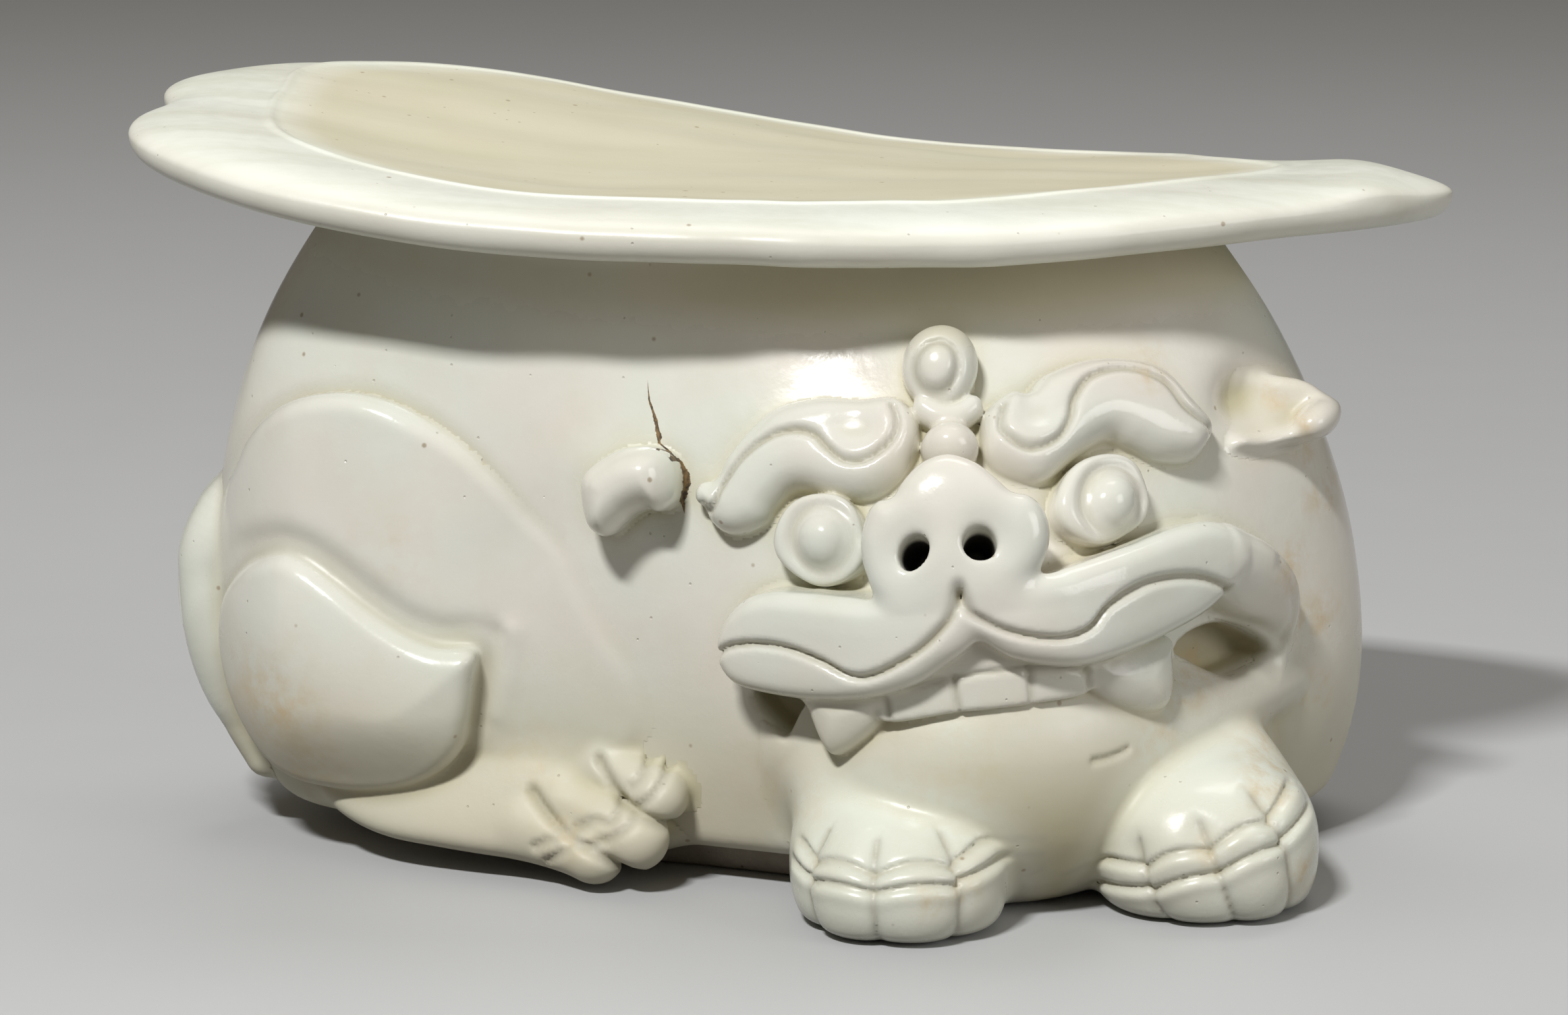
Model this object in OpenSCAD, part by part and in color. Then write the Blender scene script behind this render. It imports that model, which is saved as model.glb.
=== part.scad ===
// Pillow in the form of a crouching lion that carries a leaf-shaped headrest.
// White-glazed ceramic, luted together from hand-formed pieces. Millimetres, +Z up,
// +X along the length, the face looks towards -Y. Left and right are as seen from the face side.

/* [Body] */
// half length of the body at its widest
body_half_len = 107; // [90:1:130]
// depth of the flank in front of the middle plane
flank_out = 43; // [34:1:52]
// depth of the body behind the middle plane
back_out = 50; // [40:1:60]
// height of the widest part above the table
belt_z = 40; // [30:1:50]
// curve of the shoulder along the length, as a vertical radius
shoulder_len_r = 115; // [105:1:140]
// curve of the shoulder across the depth, as a vertical radius
shoulder_depth_r = 140; // [110:1:170]
// curve of the belly under the widest part, as a vertical radius
belly_r = 86; // [70:1:110]
// sideways lean of the body for each millimetre of height
body_lean = 0.075; // [0:0.005:0.1]
// squareness of the plan: 2 is an ellipse
plan_power = 2.3; // [2:0.1:3]
// wall thickness of the hollow body
wall = 6; // [4:0.5:9]
// layer of slip left between pieces
seat = 0.25; // [0.15:0.05:0.4]

/* [Head] */
// how far the head stands out from the flank
head_out = 27; // [18:1:34]
// distance of the middle of the head from the right end of the body, the unit of width of the face
head_back = 75.5; // [68:0.5:83]
// height of the crest above the table, the unit of height of the face
head_high = 100; // [92:1:106]
// spread of the head along the length
head_spread = 44; // [36:1:54]
// height at which the head begins to fall back to the neck
head_turn_z = 58; // [48:1:68]
// height over which it falls back
head_fall = 56; // [46:1:70]

/* [Headrest] */
// half length of the leaf
leaf_half_len = 122.7; // [100:0.1:140]
// half depth of the leaf
leaf_half_depth = 63; // [52:1:74]
// thickness of the leaf at the crest of its border
leaf_thick = 9; // [7:0.5:12]
// height of the underside where the leaf lies level
leaf_z = 114.5; // [108:0.5:122]
// rise of the notched end
leaf_curl = 13; // [6:0.5:18]
// rise of the back edge on the notched half
leaf_back_lift = 13.7; // [4:0.1:16]
// fall of the back edge on the pointed half
leaf_sag = 1.2; // [0:0.1:5]
// fall of the front edge beside the middle
leaf_droop = 2; // [0:0.5:4]
// depth of the notch
leaf_notch = 5; // [3:0.5:10]
// how far the dish lies below the crest of the border
leaf_dish = 0.7; // [0.3:0.1:3]
// height of the raised line round the dish
leaf_bead = 1.1; // [0.5:0.1:2]
// width of the border between the raised line and the rim
leaf_border = 16.4; // [12:0.1:24]

/* [Base] */
// thickness of the base slab
base_thick = 6; // [4:0.5:8]
// how far the base stands back from the wall
base_inset = 7; // [5:0.5:9]

/* [Legs] */
// height of the top of each thigh above the table
leg_high = 87.5; // [78:0.5:95]
// rise of each thigh above the flank
thigh_rise = 5.5; // [4:0.5:9]
// rise of each folded shank above the flank
shank_rise = 10; // [7:0.5:14]
// reach of the hind paws in front of the flank
hind_reach = 13; // [9:0.5:18]
// height of the hind toes
hind_high = 25; // [18:0.5:30]
// height of the hind heels
heel_high = 9; // [6:0.5:12]
// length of the hind toes in front of the thigh
hind_toes = 17; // [12:0.5:20]
// reach of the left forepaw in front of the chest
left_paw_reach = 22; // [15:0.5:28]
// half width of the left forepaw
left_paw_half = 19.2; // [14:0.1:21]
// height of the left forepaw
left_paw_high = 24; // [18:0.5:28]
// reach of the right forepaw in front of the chest
right_paw_reach = 37; // [24:0.5:42]
// half width of the right forepaw
right_paw_half = 20.4; // [14:0.1:22]
// height of the right forepaw
right_paw_high = 27; // [18:0.5:28]
// depth of the grooves between toes, as a share of the reach
toe_groove = 0.12; // [0.05:0.01:0.2]
// thickness of the tail
tail_rise = 7.5; // [5:0.5:11]
// height of the root of the tail
tail_top = 63; // [50:1:66]

/* [Face] */
// rise of the lip wings above the face
wing_rise = 10; // [7:0.5:13]
// extra rise of the nose above the wings
nose_rise = 3; // [1:0.5:6]
// bore of each nostril
nostril_d = 4.2; // [3:0.2:5.5]
// depth of each nostril bore
nostril_deep = 9; // [5:0.5:11]
// rise of the brows
brow_rise = 6; // [3:0.5:8]
// radius of the middle line of each eye rim
eye_rim_r = 5.8; // [5.4:0.1:6]
// half width of the roll of each eye rim
eye_rim_half = 1.7; // [1.2:0.1:1.8]
// rise of each eye rim
eye_rim_rise = 5.2; // [3:0.1:6.5]
// radius of each eyeball
eyeball_r = 3.6; // [2.6:0.1:3.7]
// rise of each eyeball
eyeball_rise = 7; // [4:0.1:8.5]
// radius of the crest knob
knob_r = 6.2; // [4.5:0.1:6.4]
// rise of the crest knob
knob_rise = 8.5; // [5:0.5:10]
// half width of the collar under the knob
collar_half = 4.4; // [3.5:0.1:4.8]
// half height of the collar
collar_r = 1.9; // [1.2:0.1:2.2]
// rise of the collar
collar_rise = 6; // [3:0.5:7]
// half width of the bead on the bridge of the nose
bead_half = 4.5; // [3:0.1:5]
// half height of the bead
bead_r = 3.1; // [1.6:0.1:3.4]
// rise of the bead
bead_rise = 7.5; // [4:0.5:9]
// rise of the teeth
tooth_rise = 6.5; // [4:0.5:8]
// rise of the fangs
fang_rise = 6; // [4:0.5:8]
// rise of the chin
jaw_rise = 10; // [6:0.5:13]
// rise of the ears
ear_rise = 9; // [5:0.5:11]
// rise of the cheek fold
cheek_rise = 6; // [3:0.5:8]
// width of the slip between neighbouring pieces of the face
slip = 0.3; // [0.2:0.05:0.5]

/* [Hidden] */
glaze = [0.90, 0.91, 0.86];
clay = [0.78, 0.70, 0.60];
leaf_x = 1.3;
leaf_y = 3;
notch_turn = 176;
body_shift = 4.5;
rump_x = body_shift - body_half_len;
head_x = body_shift + body_half_len - head_back;
leg_front = head_x - 0.874 * head_back;
// the head for which the face is drawn
drawn_x = 36;
drawn_back = 75.5;
drawn_high = 100;

// Curves

function ease(u) = let (c = min(1, max(0, u))) c * c * (3 - 2 * c);
function bell(u) = exp(-u * u);
function mix(a, b, u) = a + (b - a) * u;
function power(v, p) = sign(v) * pow(abs(v), p);
function flat(lists) = [for (l = lists) each l];

// A smooth curve through points, u from 0 to 1; closed curves return to their first point.
function knot(pts, i, closed) =
    let (n = len(pts)) pts[closed ? (i + n) % n : min(n - 1, max(0, i))];
function along(pts, u, closed = false) =
    let (
        spans = closed ? len(pts) : len(pts) - 1,
        i = min(spans - 1, floor(u * spans)),
        f = u * spans - i,
        a = knot(pts, i - 1, closed),
        b = knot(pts, i, closed),
        c = knot(pts, i + 1, closed),
        d = knot(pts, i + 2, closed)
    ) b + 0.5 * f * (c - a + f * (2 * a - 5 * b + 4 * c - d + f * (3 * (b - c) + d - a)));

// Solids from rings of points

function six_volume(pts, faces) =
    [for (f = faces) pts[f[0]] * cross(pts[f[1]], pts[f[2]])] * [for (f = faces) 1];
function ring_faces(n, first, second) = [for (j = [0 : n - 1]) let (k = (j + 1) % n)
    each [[first + j, first + k, second + k], [first + j, second + k, second + j]]];
function fan(n, pole, first) = [for (j = [0 : n - 1]) [pole, first + j, first + (j + 1) % n]];
function turned(faces) = [for (f = faces) [f[2], f[1], f[0]]];

module closed_skin(pts, faces) {
    polyhedron(pts, six_volume(pts, faces) < 0 ? faces : turned(faces), convexity = 6);
}

// From a first pole over the rings to a last pole.
module lobe(first, rings, last) {
    n = len(rings[0]);
    m = len(rings);
    pts = concat([first], flat(rings), [last]);
    sides = flat([for (i = [0 : m - 2]) ring_faces(n, 1 + i * n, 1 + (i + 1) * n)]);
    closed_skin(pts, concat(turned(fan(n, 0, 1)), sides, fan(n, 1 + m * n, 1 + (m - 1) * n)));
}

// Rings that close on themselves, as a hoop or a tube wall.
module hoop(rings) {
    n = len(rings[0]);
    m = len(rings);
    closed_skin(flat(rings), flat([for (i = [0 : m - 1]) ring_faces(n, i * n, ((i + 1) % m) * n)]));
}

// The body's outer surface

function fullness(z, top_r) = sqrt(max(0.05, 1 - pow((z - belt_z) / (z > belt_z ? top_r : belly_r), 2)));
function mid_x(z) = body_shift - body_lean * z;
function half_len(z) = body_half_len * fullness(z, shoulder_len_r);
function head_share(z) = (1 - ease((z - head_turn_z) / head_fall)) * mix(0.85, 1,
    ease((z / belt_z - 0.1) / 0.65));
function front_out(x, z) = flank_out * fullness(z, shoulder_depth_r)
    + head_out * bell((x - head_x) / head_spread) * head_share(z);
function rear_out(z) = back_out * fullness(z, shoulder_depth_r);

// t runs round the body: 0 at the right end, 90 behind, 180 at the left end, 270 in front.
function body_at(t, z, inset = 0) =
    let (
        x = mid_x(z) + (half_len(z) - inset) * power(cos(t), 2 / plan_power),
        side = pow(abs(sin(t)), 2 / plan_power)
    ) [x, sin(t) > 0 ? (rear_out(z) - inset) * side : -(front_out(x, z) - inset) * side, z];
function outward(t, z) =
    let (v = cross(body_at(t + 0.6, z) - body_at(t - 0.6, z), body_at(t, z + 0.5) - body_at(t, z - 0.5)))
    v / norm(v);
function turn_of(x, z) = acos(power(min(0.999, max(-0.999, (x - mid_x(z)) / half_len(z))),
    plan_power / 2));

// A point h above the surface, placed by [x, z] on the front or the back or by [t, z] round the body.
function round_at(p, h) = body_at(p[0], p[1]) + h * outward(p[0], p[1]);
function on_front(p, h) = round_at([360 - turn_of(p[0], p[1]), p[1]], h);
function on_back(p, h) = round_at([turn_of(p[0], p[1]), p[1]], h);
function on_side(p, h, side) =
    side == "front" ? on_front(p, h) : side == "back" ? on_back(p, h) : round_at(p, h);

// Pieces of clay seated on the surface

// A pad within a closed outline: rounded edge, dome of the given rise. With its place the rise may
// fade, and the bed that it lies on may stand above the surface.
module pad(outline, centre, rise, side = "front", around = 32, steps = 5, edge = 2.5,
    fade = function (p) 1, bed = function (p) 0) {
    rim = [for (j = [0 : around - 1]) along(outline, j / around, true)];
    function dome(f) = pow(1 - pow(f, edge), 1 / 2);
    function point(q, f, high) = let (p = mix(centre, q, f))
        on_side(p, seat + bed(p) + high * rise * fade(p) * dome(f), side);
    top = [for (i = [1 : steps]) [for (q = rim) point(q, sin(90 * i / steps), 1)]];
    under = [for (f = [0.7, 0.35]) [for (q = rim) point(q, f, 0)]];
    lobe(point(centre, 0, 1), concat(top, under), point(centre, 0, 0));
}

function oval(c, rx, rz) = [for (a = [0 : 45 : 315]) c + [rx * cos(a), rz * sin(a)]];

// A strip between a lower and an upper edge; rises[i] is the height at knot i, dips are
// grooves as [share of the width, depth share, half width share].
module strip(low, high, rises, side = "front", stations = 16, across = 9, dips = []) {
    heights = [for (r = rises) [r, 0]];
    rings = [for (i = [0 : stations - 1]) let (
            u = i / (stations - 1),
            a = along(low, u),
            b = along(high, u),
            rise = along(heights, u)[0]
        ) concat(
            [for (j = [0 : across]) let (v = (1 - cos(180 * j / across)) / 2)
                on_side(mix(a, b, v), seat + rise * strip_shape(v, dips), side)],
            [for (v = [0.75, 0.5, 0.25]) on_side(mix(a, b, v), seat, side)]
        )];
    last = len(low) - 1;
    lobe(on_side((low[0] + high[0]) / 2, seat + rises[0] / 3, side), rings,
        on_side((low[last] + high[last]) / 2, seat + rises[last] / 3, side));
}
function strip_shape(v, dips) = pow(max(0, 1 - pow(abs(2 * v - 1), 3)), 1 / 2)
    - min(0.6, [for (d = dips) d[1] * bell((v - d[0]) / d[2]), 0] * [for (d = dips) 1, 0]);

// A hoop of round section lying on the face.
module rim_roll(c, r, half, rise) {
    hoop([for (a = [0 : 20 : 340]) concat(
        [for (b = [0 : 36 : 180]) on_front(c + (r + half * cos(b)) * [cos(a), sin(a)],
            seat + rise * sin(b))],
        [on_front(c + r * [cos(a), sin(a)], seat)]
    )]);
}

// A paw standing on the table in front of the wall or the chin: toes fan from the right round to
// fan_end, one for each toe_turn degrees, and the rear follows what is behind it. The front of a round
// paw curves about its middle; otherwise it follows the wall.
module paw(x, left, right, reach, high, heel_high, toe_turn, fan_end = 180, back = false, round = false) {
    way = back ? 1 : -1;
    turns = [for (a = [0 : 7.5 : 180]) a];
    rows = [0, 0.16, 0.34, 0.52, 0.68, 0.82, 0.93];
    thin = 0.05 * reach;
    function top_z(px) = mix(heel_high, high, ease((px - x + left) / left));
    function wall_out(px, z) = let (p = [px, max(z, base_thick)])
        seat + (back ? on_back(p, 0)[1] : slip - bed_y(p[0], p[1], p));
    function spot(a, f, out) = let (
            width = pow(1 - pow(f, 3), 1 / 3) * mix(0.94, 1, ease(f * 5)),
            px = x + (cos(a) > 0 ? right : left) * width * cos(a),
            z = f * top_z(px),
            depth = reach * pow(1 - pow(f, 1.8), 0.6) * mix(0.9, 1, ease(f * 5)),
            toe = 1 - toe_groove * pow(1 - abs(sin(180 * a / toe_turn)), 3) * ease((fan_end + 15 - a) / 15),
            rear = wall_out(px, z),
            middle = round ? wall_out(x, base_thick) : rear,
            front = max(rear + thin * sin(a), middle + depth * toe * pow(sin(a), 0.6))
        ) [px, way * mix(rear, front, out), z];
    rings = [for (f = rows) concat([for (a = turns) spot(a, f, 1)],
        [for (a = [150, 120, 90, 60, 30]) spot(a, f, 0)])];
    lobe(spot(90, 0, 0.4), rings, spot(90, 0.985, 0.3));
}

// The leaf of the headrest

// Reach of the leaf from its middle: pointed to the right, blunt to the left.
function leaf_reach(a) = let (p = cos(a) > 0 ? 1.55 : 2.54)
    pow(pow(abs(cos(a)) / leaf_half_len, p) + pow(abs(sin(a)) / leaf_half_depth, p), -1 / p);
function leaf_edge(a) = leaf_reach(a) - leaf_notch * bell((a - notch_turn) / 4.7);
function leaf_line(a) = leaf_reach(a) * (1 - leaf_border / leaf_half_depth + 0.05 * bell((a - 180) / 30));

// How far the leaf bends up from level: the notched end and the back rise, the front droops a little.
function leaf_lift(x, y) = let (
        u = x / leaf_half_len,
        v = y / leaf_half_depth,
        curl = leaf_curl * ease((-u - 0.24) / 0.82),
        back = leaf_back_lift + leaf_sag - 0.6 * curl
    ) curl * (1 - 0.39 * ease((-0.14 - v) / 0.8))
        + ease((v + 0.32) / 1.27) * (back * ease((0.37 - u) / 1.01) - leaf_sag)
        - leaf_droop * bell((u - 0.3) / 0.35) * ease((-v - 0.3) / 0.6);
function leaf_under(x, y) = leaf_z + leaf_lift(x, y);
function leaf_point(a, r, h) = let (
        x = leaf_x + r * cos(a),
        y = leaf_y + r * sin(a)
    ) [x, y, leaf_under(x, y) + h];

module headrest() {
    angles = [for (a = [0 : 5 : 355]) a - 12 * sin(2 * a)];
    waist = 0.47 * leaf_thick;
    floor_h = leaf_thick - leaf_dish;
    // shares of the way out to the raised line, with heights above the underside
    dish = [[0.4, floor_h], [0.8, floor_h], [0.965, floor_h], [1, floor_h + leaf_bead]];
    // shares of the way from the line to the rim
    border = [0.06, 0.3, 0.56, 0.76, 0.9, 0.975, 1];
    function border_h(t) = waist + (leaf_thick - waist) * sqrt(1 - pow(t, 2.4))
        - leaf_dish * 0.7 * (1 - bell(t / 0.045)) * (1 - t);
    under = [30, 60, 84];
    rings = concat(
        [for (s = dish) [for (a = angles) leaf_point(a, leaf_line(a) * s[0], s[1])]],
        [for (t = border) [for (a = angles) leaf_point(a, mix(leaf_line(a), leaf_edge(a), t), border_h(t))]],
        [for (b = under) [for (a = angles)
            leaf_point(a, leaf_edge(a) - waist * (1 - cos(b)), waist * (1 - sin(b)))]],
        [for (f = [0.9, 0.6, 0.3]) [for (a = angles) leaf_point(a, leaf_edge(a) * f, 0)]]
    );
    color(glaze) lobe(leaf_point(0, 0, floor_h), rings, leaf_point(0, 0, 0));
}

// Body and base

function neck_z(t, inset) = let (
        p = body_at(t, leaf_z, inset),
        q = body_at(t, leaf_under(p[0], p[1]), inset)
    ) leaf_under(q[0], q[1]) - seat;

module body_shell() {
    turns = [for (t = [3 : 6 : 357]) t];
    rows = 12;
    inner_rows = 5;
    outer = [for (i = [0 : rows]) [for (t = turns) body_at(t, mix(base_thick, neck_z(t, 0), i / rows))]];
    inner = [for (i = [0 : inner_rows])
        [for (t = turns) body_at(t, mix(neck_z(t, wall), base_thick, i / inner_rows), wall)]];
    color(glaze) hoop(concat(outer, inner));
}

module base_slab() {
    color(clay) linear_extrude(base_thick)
        polygon([for (t = [3 : 6 : 357]) let (p = body_at(t, base_thick, base_inset)) [p[0], p[1]]]);
}

// Hind legs and tail. Outlines are in hundredths of the way from the rump to the front of the thigh,
// and of the height of the thigh.

function leg(p) = [mix(rump_x, leg_front, p[0] / 100), leg_high * p[1] / 100];
function leg_line(pts) = [for (p = pts) leg(p)];

thigh_outline = [[2.1, 76.6], [7.6, 89.1], [20, 97.1], [36.6, 100], [53.1, 96], [66.9, 86.9],
    [77.9, 75.4], [89, 61.7], [98.6, 48], [100, 36.6], [86.2, 36], [71, 52], [54.5, 53.1], [40.7, 59.4], [29.7, 65.7],
    [17.2, 69.7], [6.2, 68.6]];
shank_outline = [[2.1, 57.1], [10.3, 64.6], [20, 65.1], [31, 60.6], [42.1, 53.7], [54.5, 48.6],
    [65.5, 48], [66.9, 38.9], [63.4, 29.7], [57.2, 21.7], [44.8, 16.6], [28.3, 14.9], [14.5, 17.1],
    [4.8, 26.3], [0, 41.1]];

// Share of the way from the rump to the front of the thigh, and how the leg rises from the rump.
function leg_share(x) = (x - rump_x) / (leg_front - rump_x);
function off_rump(x) = ease((leg_share(x) + 0.09) / 0.33);

module thigh(side) {
    color(glaze) pad(leg_line(thigh_outline), leg([46.2, 76.6]), thigh_rise, side, around = 34, edge = 5,
        fade = function (p) mix(0.2, 1, ease((0.945 - leg_share(p[0])) / 0.58) * off_rump(p[0])));
}

module shank(side) {
    color(glaze) pad(leg_line(shank_outline), leg([32.4, 38.9]), shank_rise, side, around = 32, edge = 4,
        fade = function (p) mix(0.4, 1, off_rump(p[0])));
}

module hind_paw(back) {
    heel = 0.635 * (leg_front - rump_x);
    x = leg_front - heel_high / 2;
    color(glaze) paw(x, heel, hind_toes, hind_reach, hind_high, heel_high, 35, fan_end = 105,
        back = back);
}

module near_thigh() thigh("front");
module near_shank() shank("front");
module near_hind_paw() hind_paw(false);
module far_thigh() thigh("back");
module far_shank() shank("back");
module far_hind_paw() hind_paw(true);

module tail() {
    function line(turns) = [for (i = [0 : 4]) [turns[i], tail_top * [0.2, 0.38, 0.635, 0.86, 1][i]]];
    color(glaze) strip(line([183, 186, 186.5, 186, 182]), line([177, 174, 173.5, 174, 177]),
        tail_rise * [0.3, 0.9, 1, 1, 0.3], side = "round", stations = 14);
}

// Face. Outlines are in millimetres as drawn on a head of the drawn size, and follow the head.

function face(p) = [head_x + (p[0] - drawn_x) * head_back / drawn_back, p[1] * head_high / drawn_high];
function face_line(pts) = [for (p = pts) face(p)];

// Forepaws
left_paw_x = face([20.8, 0])[0];
right_paw_x = face([75.5, 0])[0];

module forepaw(x, half, reach, high) {
    color(glaze) paw(x, half, half, reach, high, high, 45, round = true);
}
module left_forepaw() forepaw(left_paw_x, left_paw_half, left_paw_reach, left_paw_high);
module right_forepaw() forepaw(right_paw_x, right_paw_half, right_paw_reach, right_paw_high);

// The round chin is a dome on an oval. The forepaws stand in front of it and the fangs lie on it.
jaw_at = face([41, 20]);
jaw_half = face([84, 38.5]) - jaw_at;
jaw_edge = 3;

function jaw_height(p) = let (
        f = norm([(p[0] - jaw_at[0]) / jaw_half[0], (p[1] - jaw_at[1]) / jaw_half[1]])
    ) f < 1 ? jaw_rise * pow(1 - pow(f, jaw_edge), 1 / 2) : 0;

// What lies on the chin clears it by a little more towards its edge.
function jaw_bed(p) = jaw_height(mix(jaw_at, p, 0.95));
// Where that bed, or the body beside it, lies at x and z: the foot of that point is sought.
function bed_y(x, z, foot, tries = 5) = let (p = on_front(foot, jaw_bed(foot)))
    tries == 0 ? p[1] : bed_y(x, z, foot + [x - p[0], z - p[2]], tries - 1);

module lower_jaw() {
    outline = [for (a = [0 : 15 : 345]) jaw_at + [jaw_half[0] * cos(a), jaw_half[1] * sin(a)]];
    color(glaze) pad(outline, jaw_at, jaw_rise, around = 48, steps = 6, edge = jaw_edge);
}

// The three-lobed nose, bored for the nostrils.
nostrils = [[24.2, 63], [32.9, 64.1]];
nose_outline = [[28.4, 75.7], [31.2, 75.7], [33.8, 74.6], [35.8, 72.6], [36.4, 70.4], [38.6, 70],
    [40.9, 68.4], [42, 64.9], [41.2, 61.2], [38, 58.4], [34, 57.8], [30.8, 58.6], [27.4, 57.9], [24, 57.5],
    [20.6, 58.4], [18.6, 60.2], [17.4, 63.2], [17.5, 66.2], [18.8, 68.8], [21.4, 70], [23, 72.4], [25.2, 74.8]];

module nose() {
    color(glaze) difference() {
        pad(face_line(nose_outline), face([29, 65.5]), wing_rise + nose_rise, around = 44, edge = 5);
        for (c = nostrils) {
            nostril(face(c));
        }
    }
}

module nostril(c) {
    translate(on_front(c, seat + wing_rise + nose_rise) - [0, 2, 0])
        rotate([-90, 0, 0]) cylinder(d = nostril_d, h = nostril_deep + 2, $fn = 32);
}

// The upper lip: two wings that meet under the nose, each with a groove along its lower roll.
lip_groove = [[0.4, 0.14, 0.07]];

module left_lip() {
    color(glaze) strip(
        face_line([[-7.9, 45.4], [-6, 41.8], [-1.3, 40], [6.9, 39.7], [14.6, 40.4], [20.6, 41.8],
            [26.2, 44.6], [32.4, 51.2]]),
        face_line([[-8.1, 47.6], [-6.4, 52.2], [-2, 56.2], [5, 57.8], [12, 58], [18.2, 58.4], [24.2, 56.9],
            [30.5, 57.9]]),
        wing_rise * [0.7, 0.9, 1, 1.05, 1.1, 1.2, 1.25, 1.25],
        stations = 18, across = 11, dips = lip_groove);
}

module right_lip() {
    color(glaze) strip(
        face_line([[33, 51.2], [36.6, 48.6], [41.9, 46.8], [47.2, 46.2], [54.8, 47.4], [61.3, 49], [70, 52],
            [76.4, 57.2]]),
        face_line([[31.1, 57.9], [36, 57.3], [42.4, 60.4], [48, 62], [54, 63.3], [62, 65.1], [70.5, 65.7],
            [76.8, 61]]),
        wing_rise * [1.25, 1.25, 1.2, 1.15, 1.05, 1, 0.95, 0.8],
        stations = 18, across = 11, dips = lip_groove);
}

// Three broad front teeth with grooves between them.
module teeth() {
    low = face_line([[18.7, 36.8], [30.2, 38.4], [40, 39.4], [49.3, 40.6]]);
    high = face_line([[18.7, 40.6], [29.4, 45.8], [40, 46], [49.3, 45.2]]);
    groove = 0.3;
    rises = [for (i = [0 : 12]) tooth_rise * (i % 4 == 0 ? 1 - groove : 1)];
    color(glaze) strip(low, high, rises, stations = 17, across = 7);
}

module fang(outline, centre) {
    color(glaze) pad(face_line(outline), face(centre), fang_rise, around = 20, steps = 4,
        bed = function (p) jaw_bed(p));
}
module left_fang() {
    fang([[8.2, 39.2], [8.5, 37.4], [9.7, 34.7], [12.2, 31], [13.6, 30.2], [15.6, 31.4], [17.4, 33.9],
        [18.1, 36.6], [18, 40.2], [13.4, 39.8]], [13.4, 36.4]);
}
module right_fang() {
    fang([[50.2, 44.6], [50.4, 41.6], [52.6, 39.4], [56.1, 36.9], [60.2, 35.9], [62.2, 37.6], [63, 43],
        [62.8, 48.6], [56, 47.1], [51.2, 46]], [57, 42.4]);
}

// Each eye stands on the upper edge of its lip.
rim_out = eye_rim_r + eye_rim_half;
left_eye = face([7.9, 58]) + [0, slip + rim_out];
right_eye = face([53.9, 63.4]) + [0, slip + rim_out];

module eye_rim(c) {
    color(glaze) rim_roll(c, eye_rim_r, eye_rim_half, eye_rim_rise);
}
module left_eye_rim() eye_rim(left_eye);
module right_eye_rim() eye_rim(right_eye);

module eyeball(c) {
    color(glaze) pad(oval(c, eyeball_r, eyeball_r), c, eyeball_rise, around = 16, steps = 4, edge = 2);
}
module left_eyeball() eyeball(left_eye);
module right_eyeball() eyeball(right_eye);

// Each brow is a plump comma with a line scored along it.
brow_line = [[0.5, 0.25, 0.07]];

module left_brow() {
    color(glaze) strip(
        face_line([[-12, 68.6], [-9.3, 65.4], [-4.6, 66.2], [-0.7, 70.8], [4.5, 74.2], [11, 74.2],
            [17.5, 74.6], [22, 78.4]]),
        face_line([[-12, 70.6], [-10.8, 75.4], [-7.4, 81], [-2.4, 85.6], [4.5, 88.1], [11.5, 88.4],
            [18.3, 88.6], [23, 85.4]]),
        brow_rise * [0.4, 0.8, 1, 1, 1, 1, 0.9, 0.6], stations = 16, dips = brow_line);
}

module right_brow() {
    color(glaze) strip(
        face_line([[34.4, 81.6], [38, 76.9], [44.8, 75.8], [50.6, 79.4], [56, 80.8], [61.5, 78.5],
            [68, 76.2], [73.4, 77.4]]),
        face_line([[34.6, 85], [39, 89], [45, 91.5], [52, 93.6], [58.5, 93.8], [65, 92.2], [70.5, 87.4],
            [74.8, 82]]),
        brow_rise * [0.6, 0.9, 1, 1, 1, 1, 0.9, 0.5], stations = 16, dips = brow_line);
}

// From the nose upwards, each stands on the one before.
bead_at = face([28.6, 75.7]) + [0, slip + bead_r];
collar_at = bead_at + [0, bead_r + slip + collar_r];
knob_at = collar_at + [-1, collar_r + slip + knob_r];

module bridge_bead() {
    color(glaze) pad(oval(bead_at, bead_half, bead_r), bead_at, bead_rise, around = 20, steps = 3);
}
module crest_collar() {
    color(glaze) pad(oval(collar_at, collar_half, collar_r), collar_at, collar_rise, around = 20, steps = 3);
}
module crest_knob() {
    color(glaze) pad(oval(knob_at, knob_r, knob_r), knob_at, knob_rise, around = 24, edge = 3);
}

module left_ear() {
    color(glaze) strip(face_line([[-34.8, 68], [-31.6, 64.8], [-27, 67.6], [-23.1, 69.6], [-18.4, 72.4]]),
        face_line([[-35.4, 71.6], [-33.4, 76.2], [-28.7, 78.9], [-23.3, 80.1], [-18.2, 76]]),
        ear_rise * [0.5, 0.95, 1.15, 1.15, 0.7], stations = 12, dips = [[0.3, 0.15, 0.12]]);
}

// The right ear is cupped, and stands off the body at its tip.
module right_ear() {
    color(glaze) strip(face_line([[77.4, 80.5], [80.5, 76.2], [86.8, 76], [92, 75.8], [95.6, 77.4]]),
        face_line([[77.4, 87], [80.8, 90.6], [86, 88.8], [91.4, 84.6], [95.4, 80.6]]),
        ear_rise * [0.3, 0.7, 0.9, 1, 0.9], stations = 12, dips = [[0.5, 0.5, 0.22]]);
}

module right_cheek() {
    color(glaze) strip(face_line([[77.6, 62.4], [77.7, 57.4], [78.6, 51], [83.6, 45.6], [87, 41.4]]),
        face_line([[77.4, 64.2], [83, 60.6], [88.4, 54.8], [91.6, 47.8], [91, 41]]),
        cheek_rise * [1.4, 1.4, 1.1, 0.8, 0.5], stations = 12);
}

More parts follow.
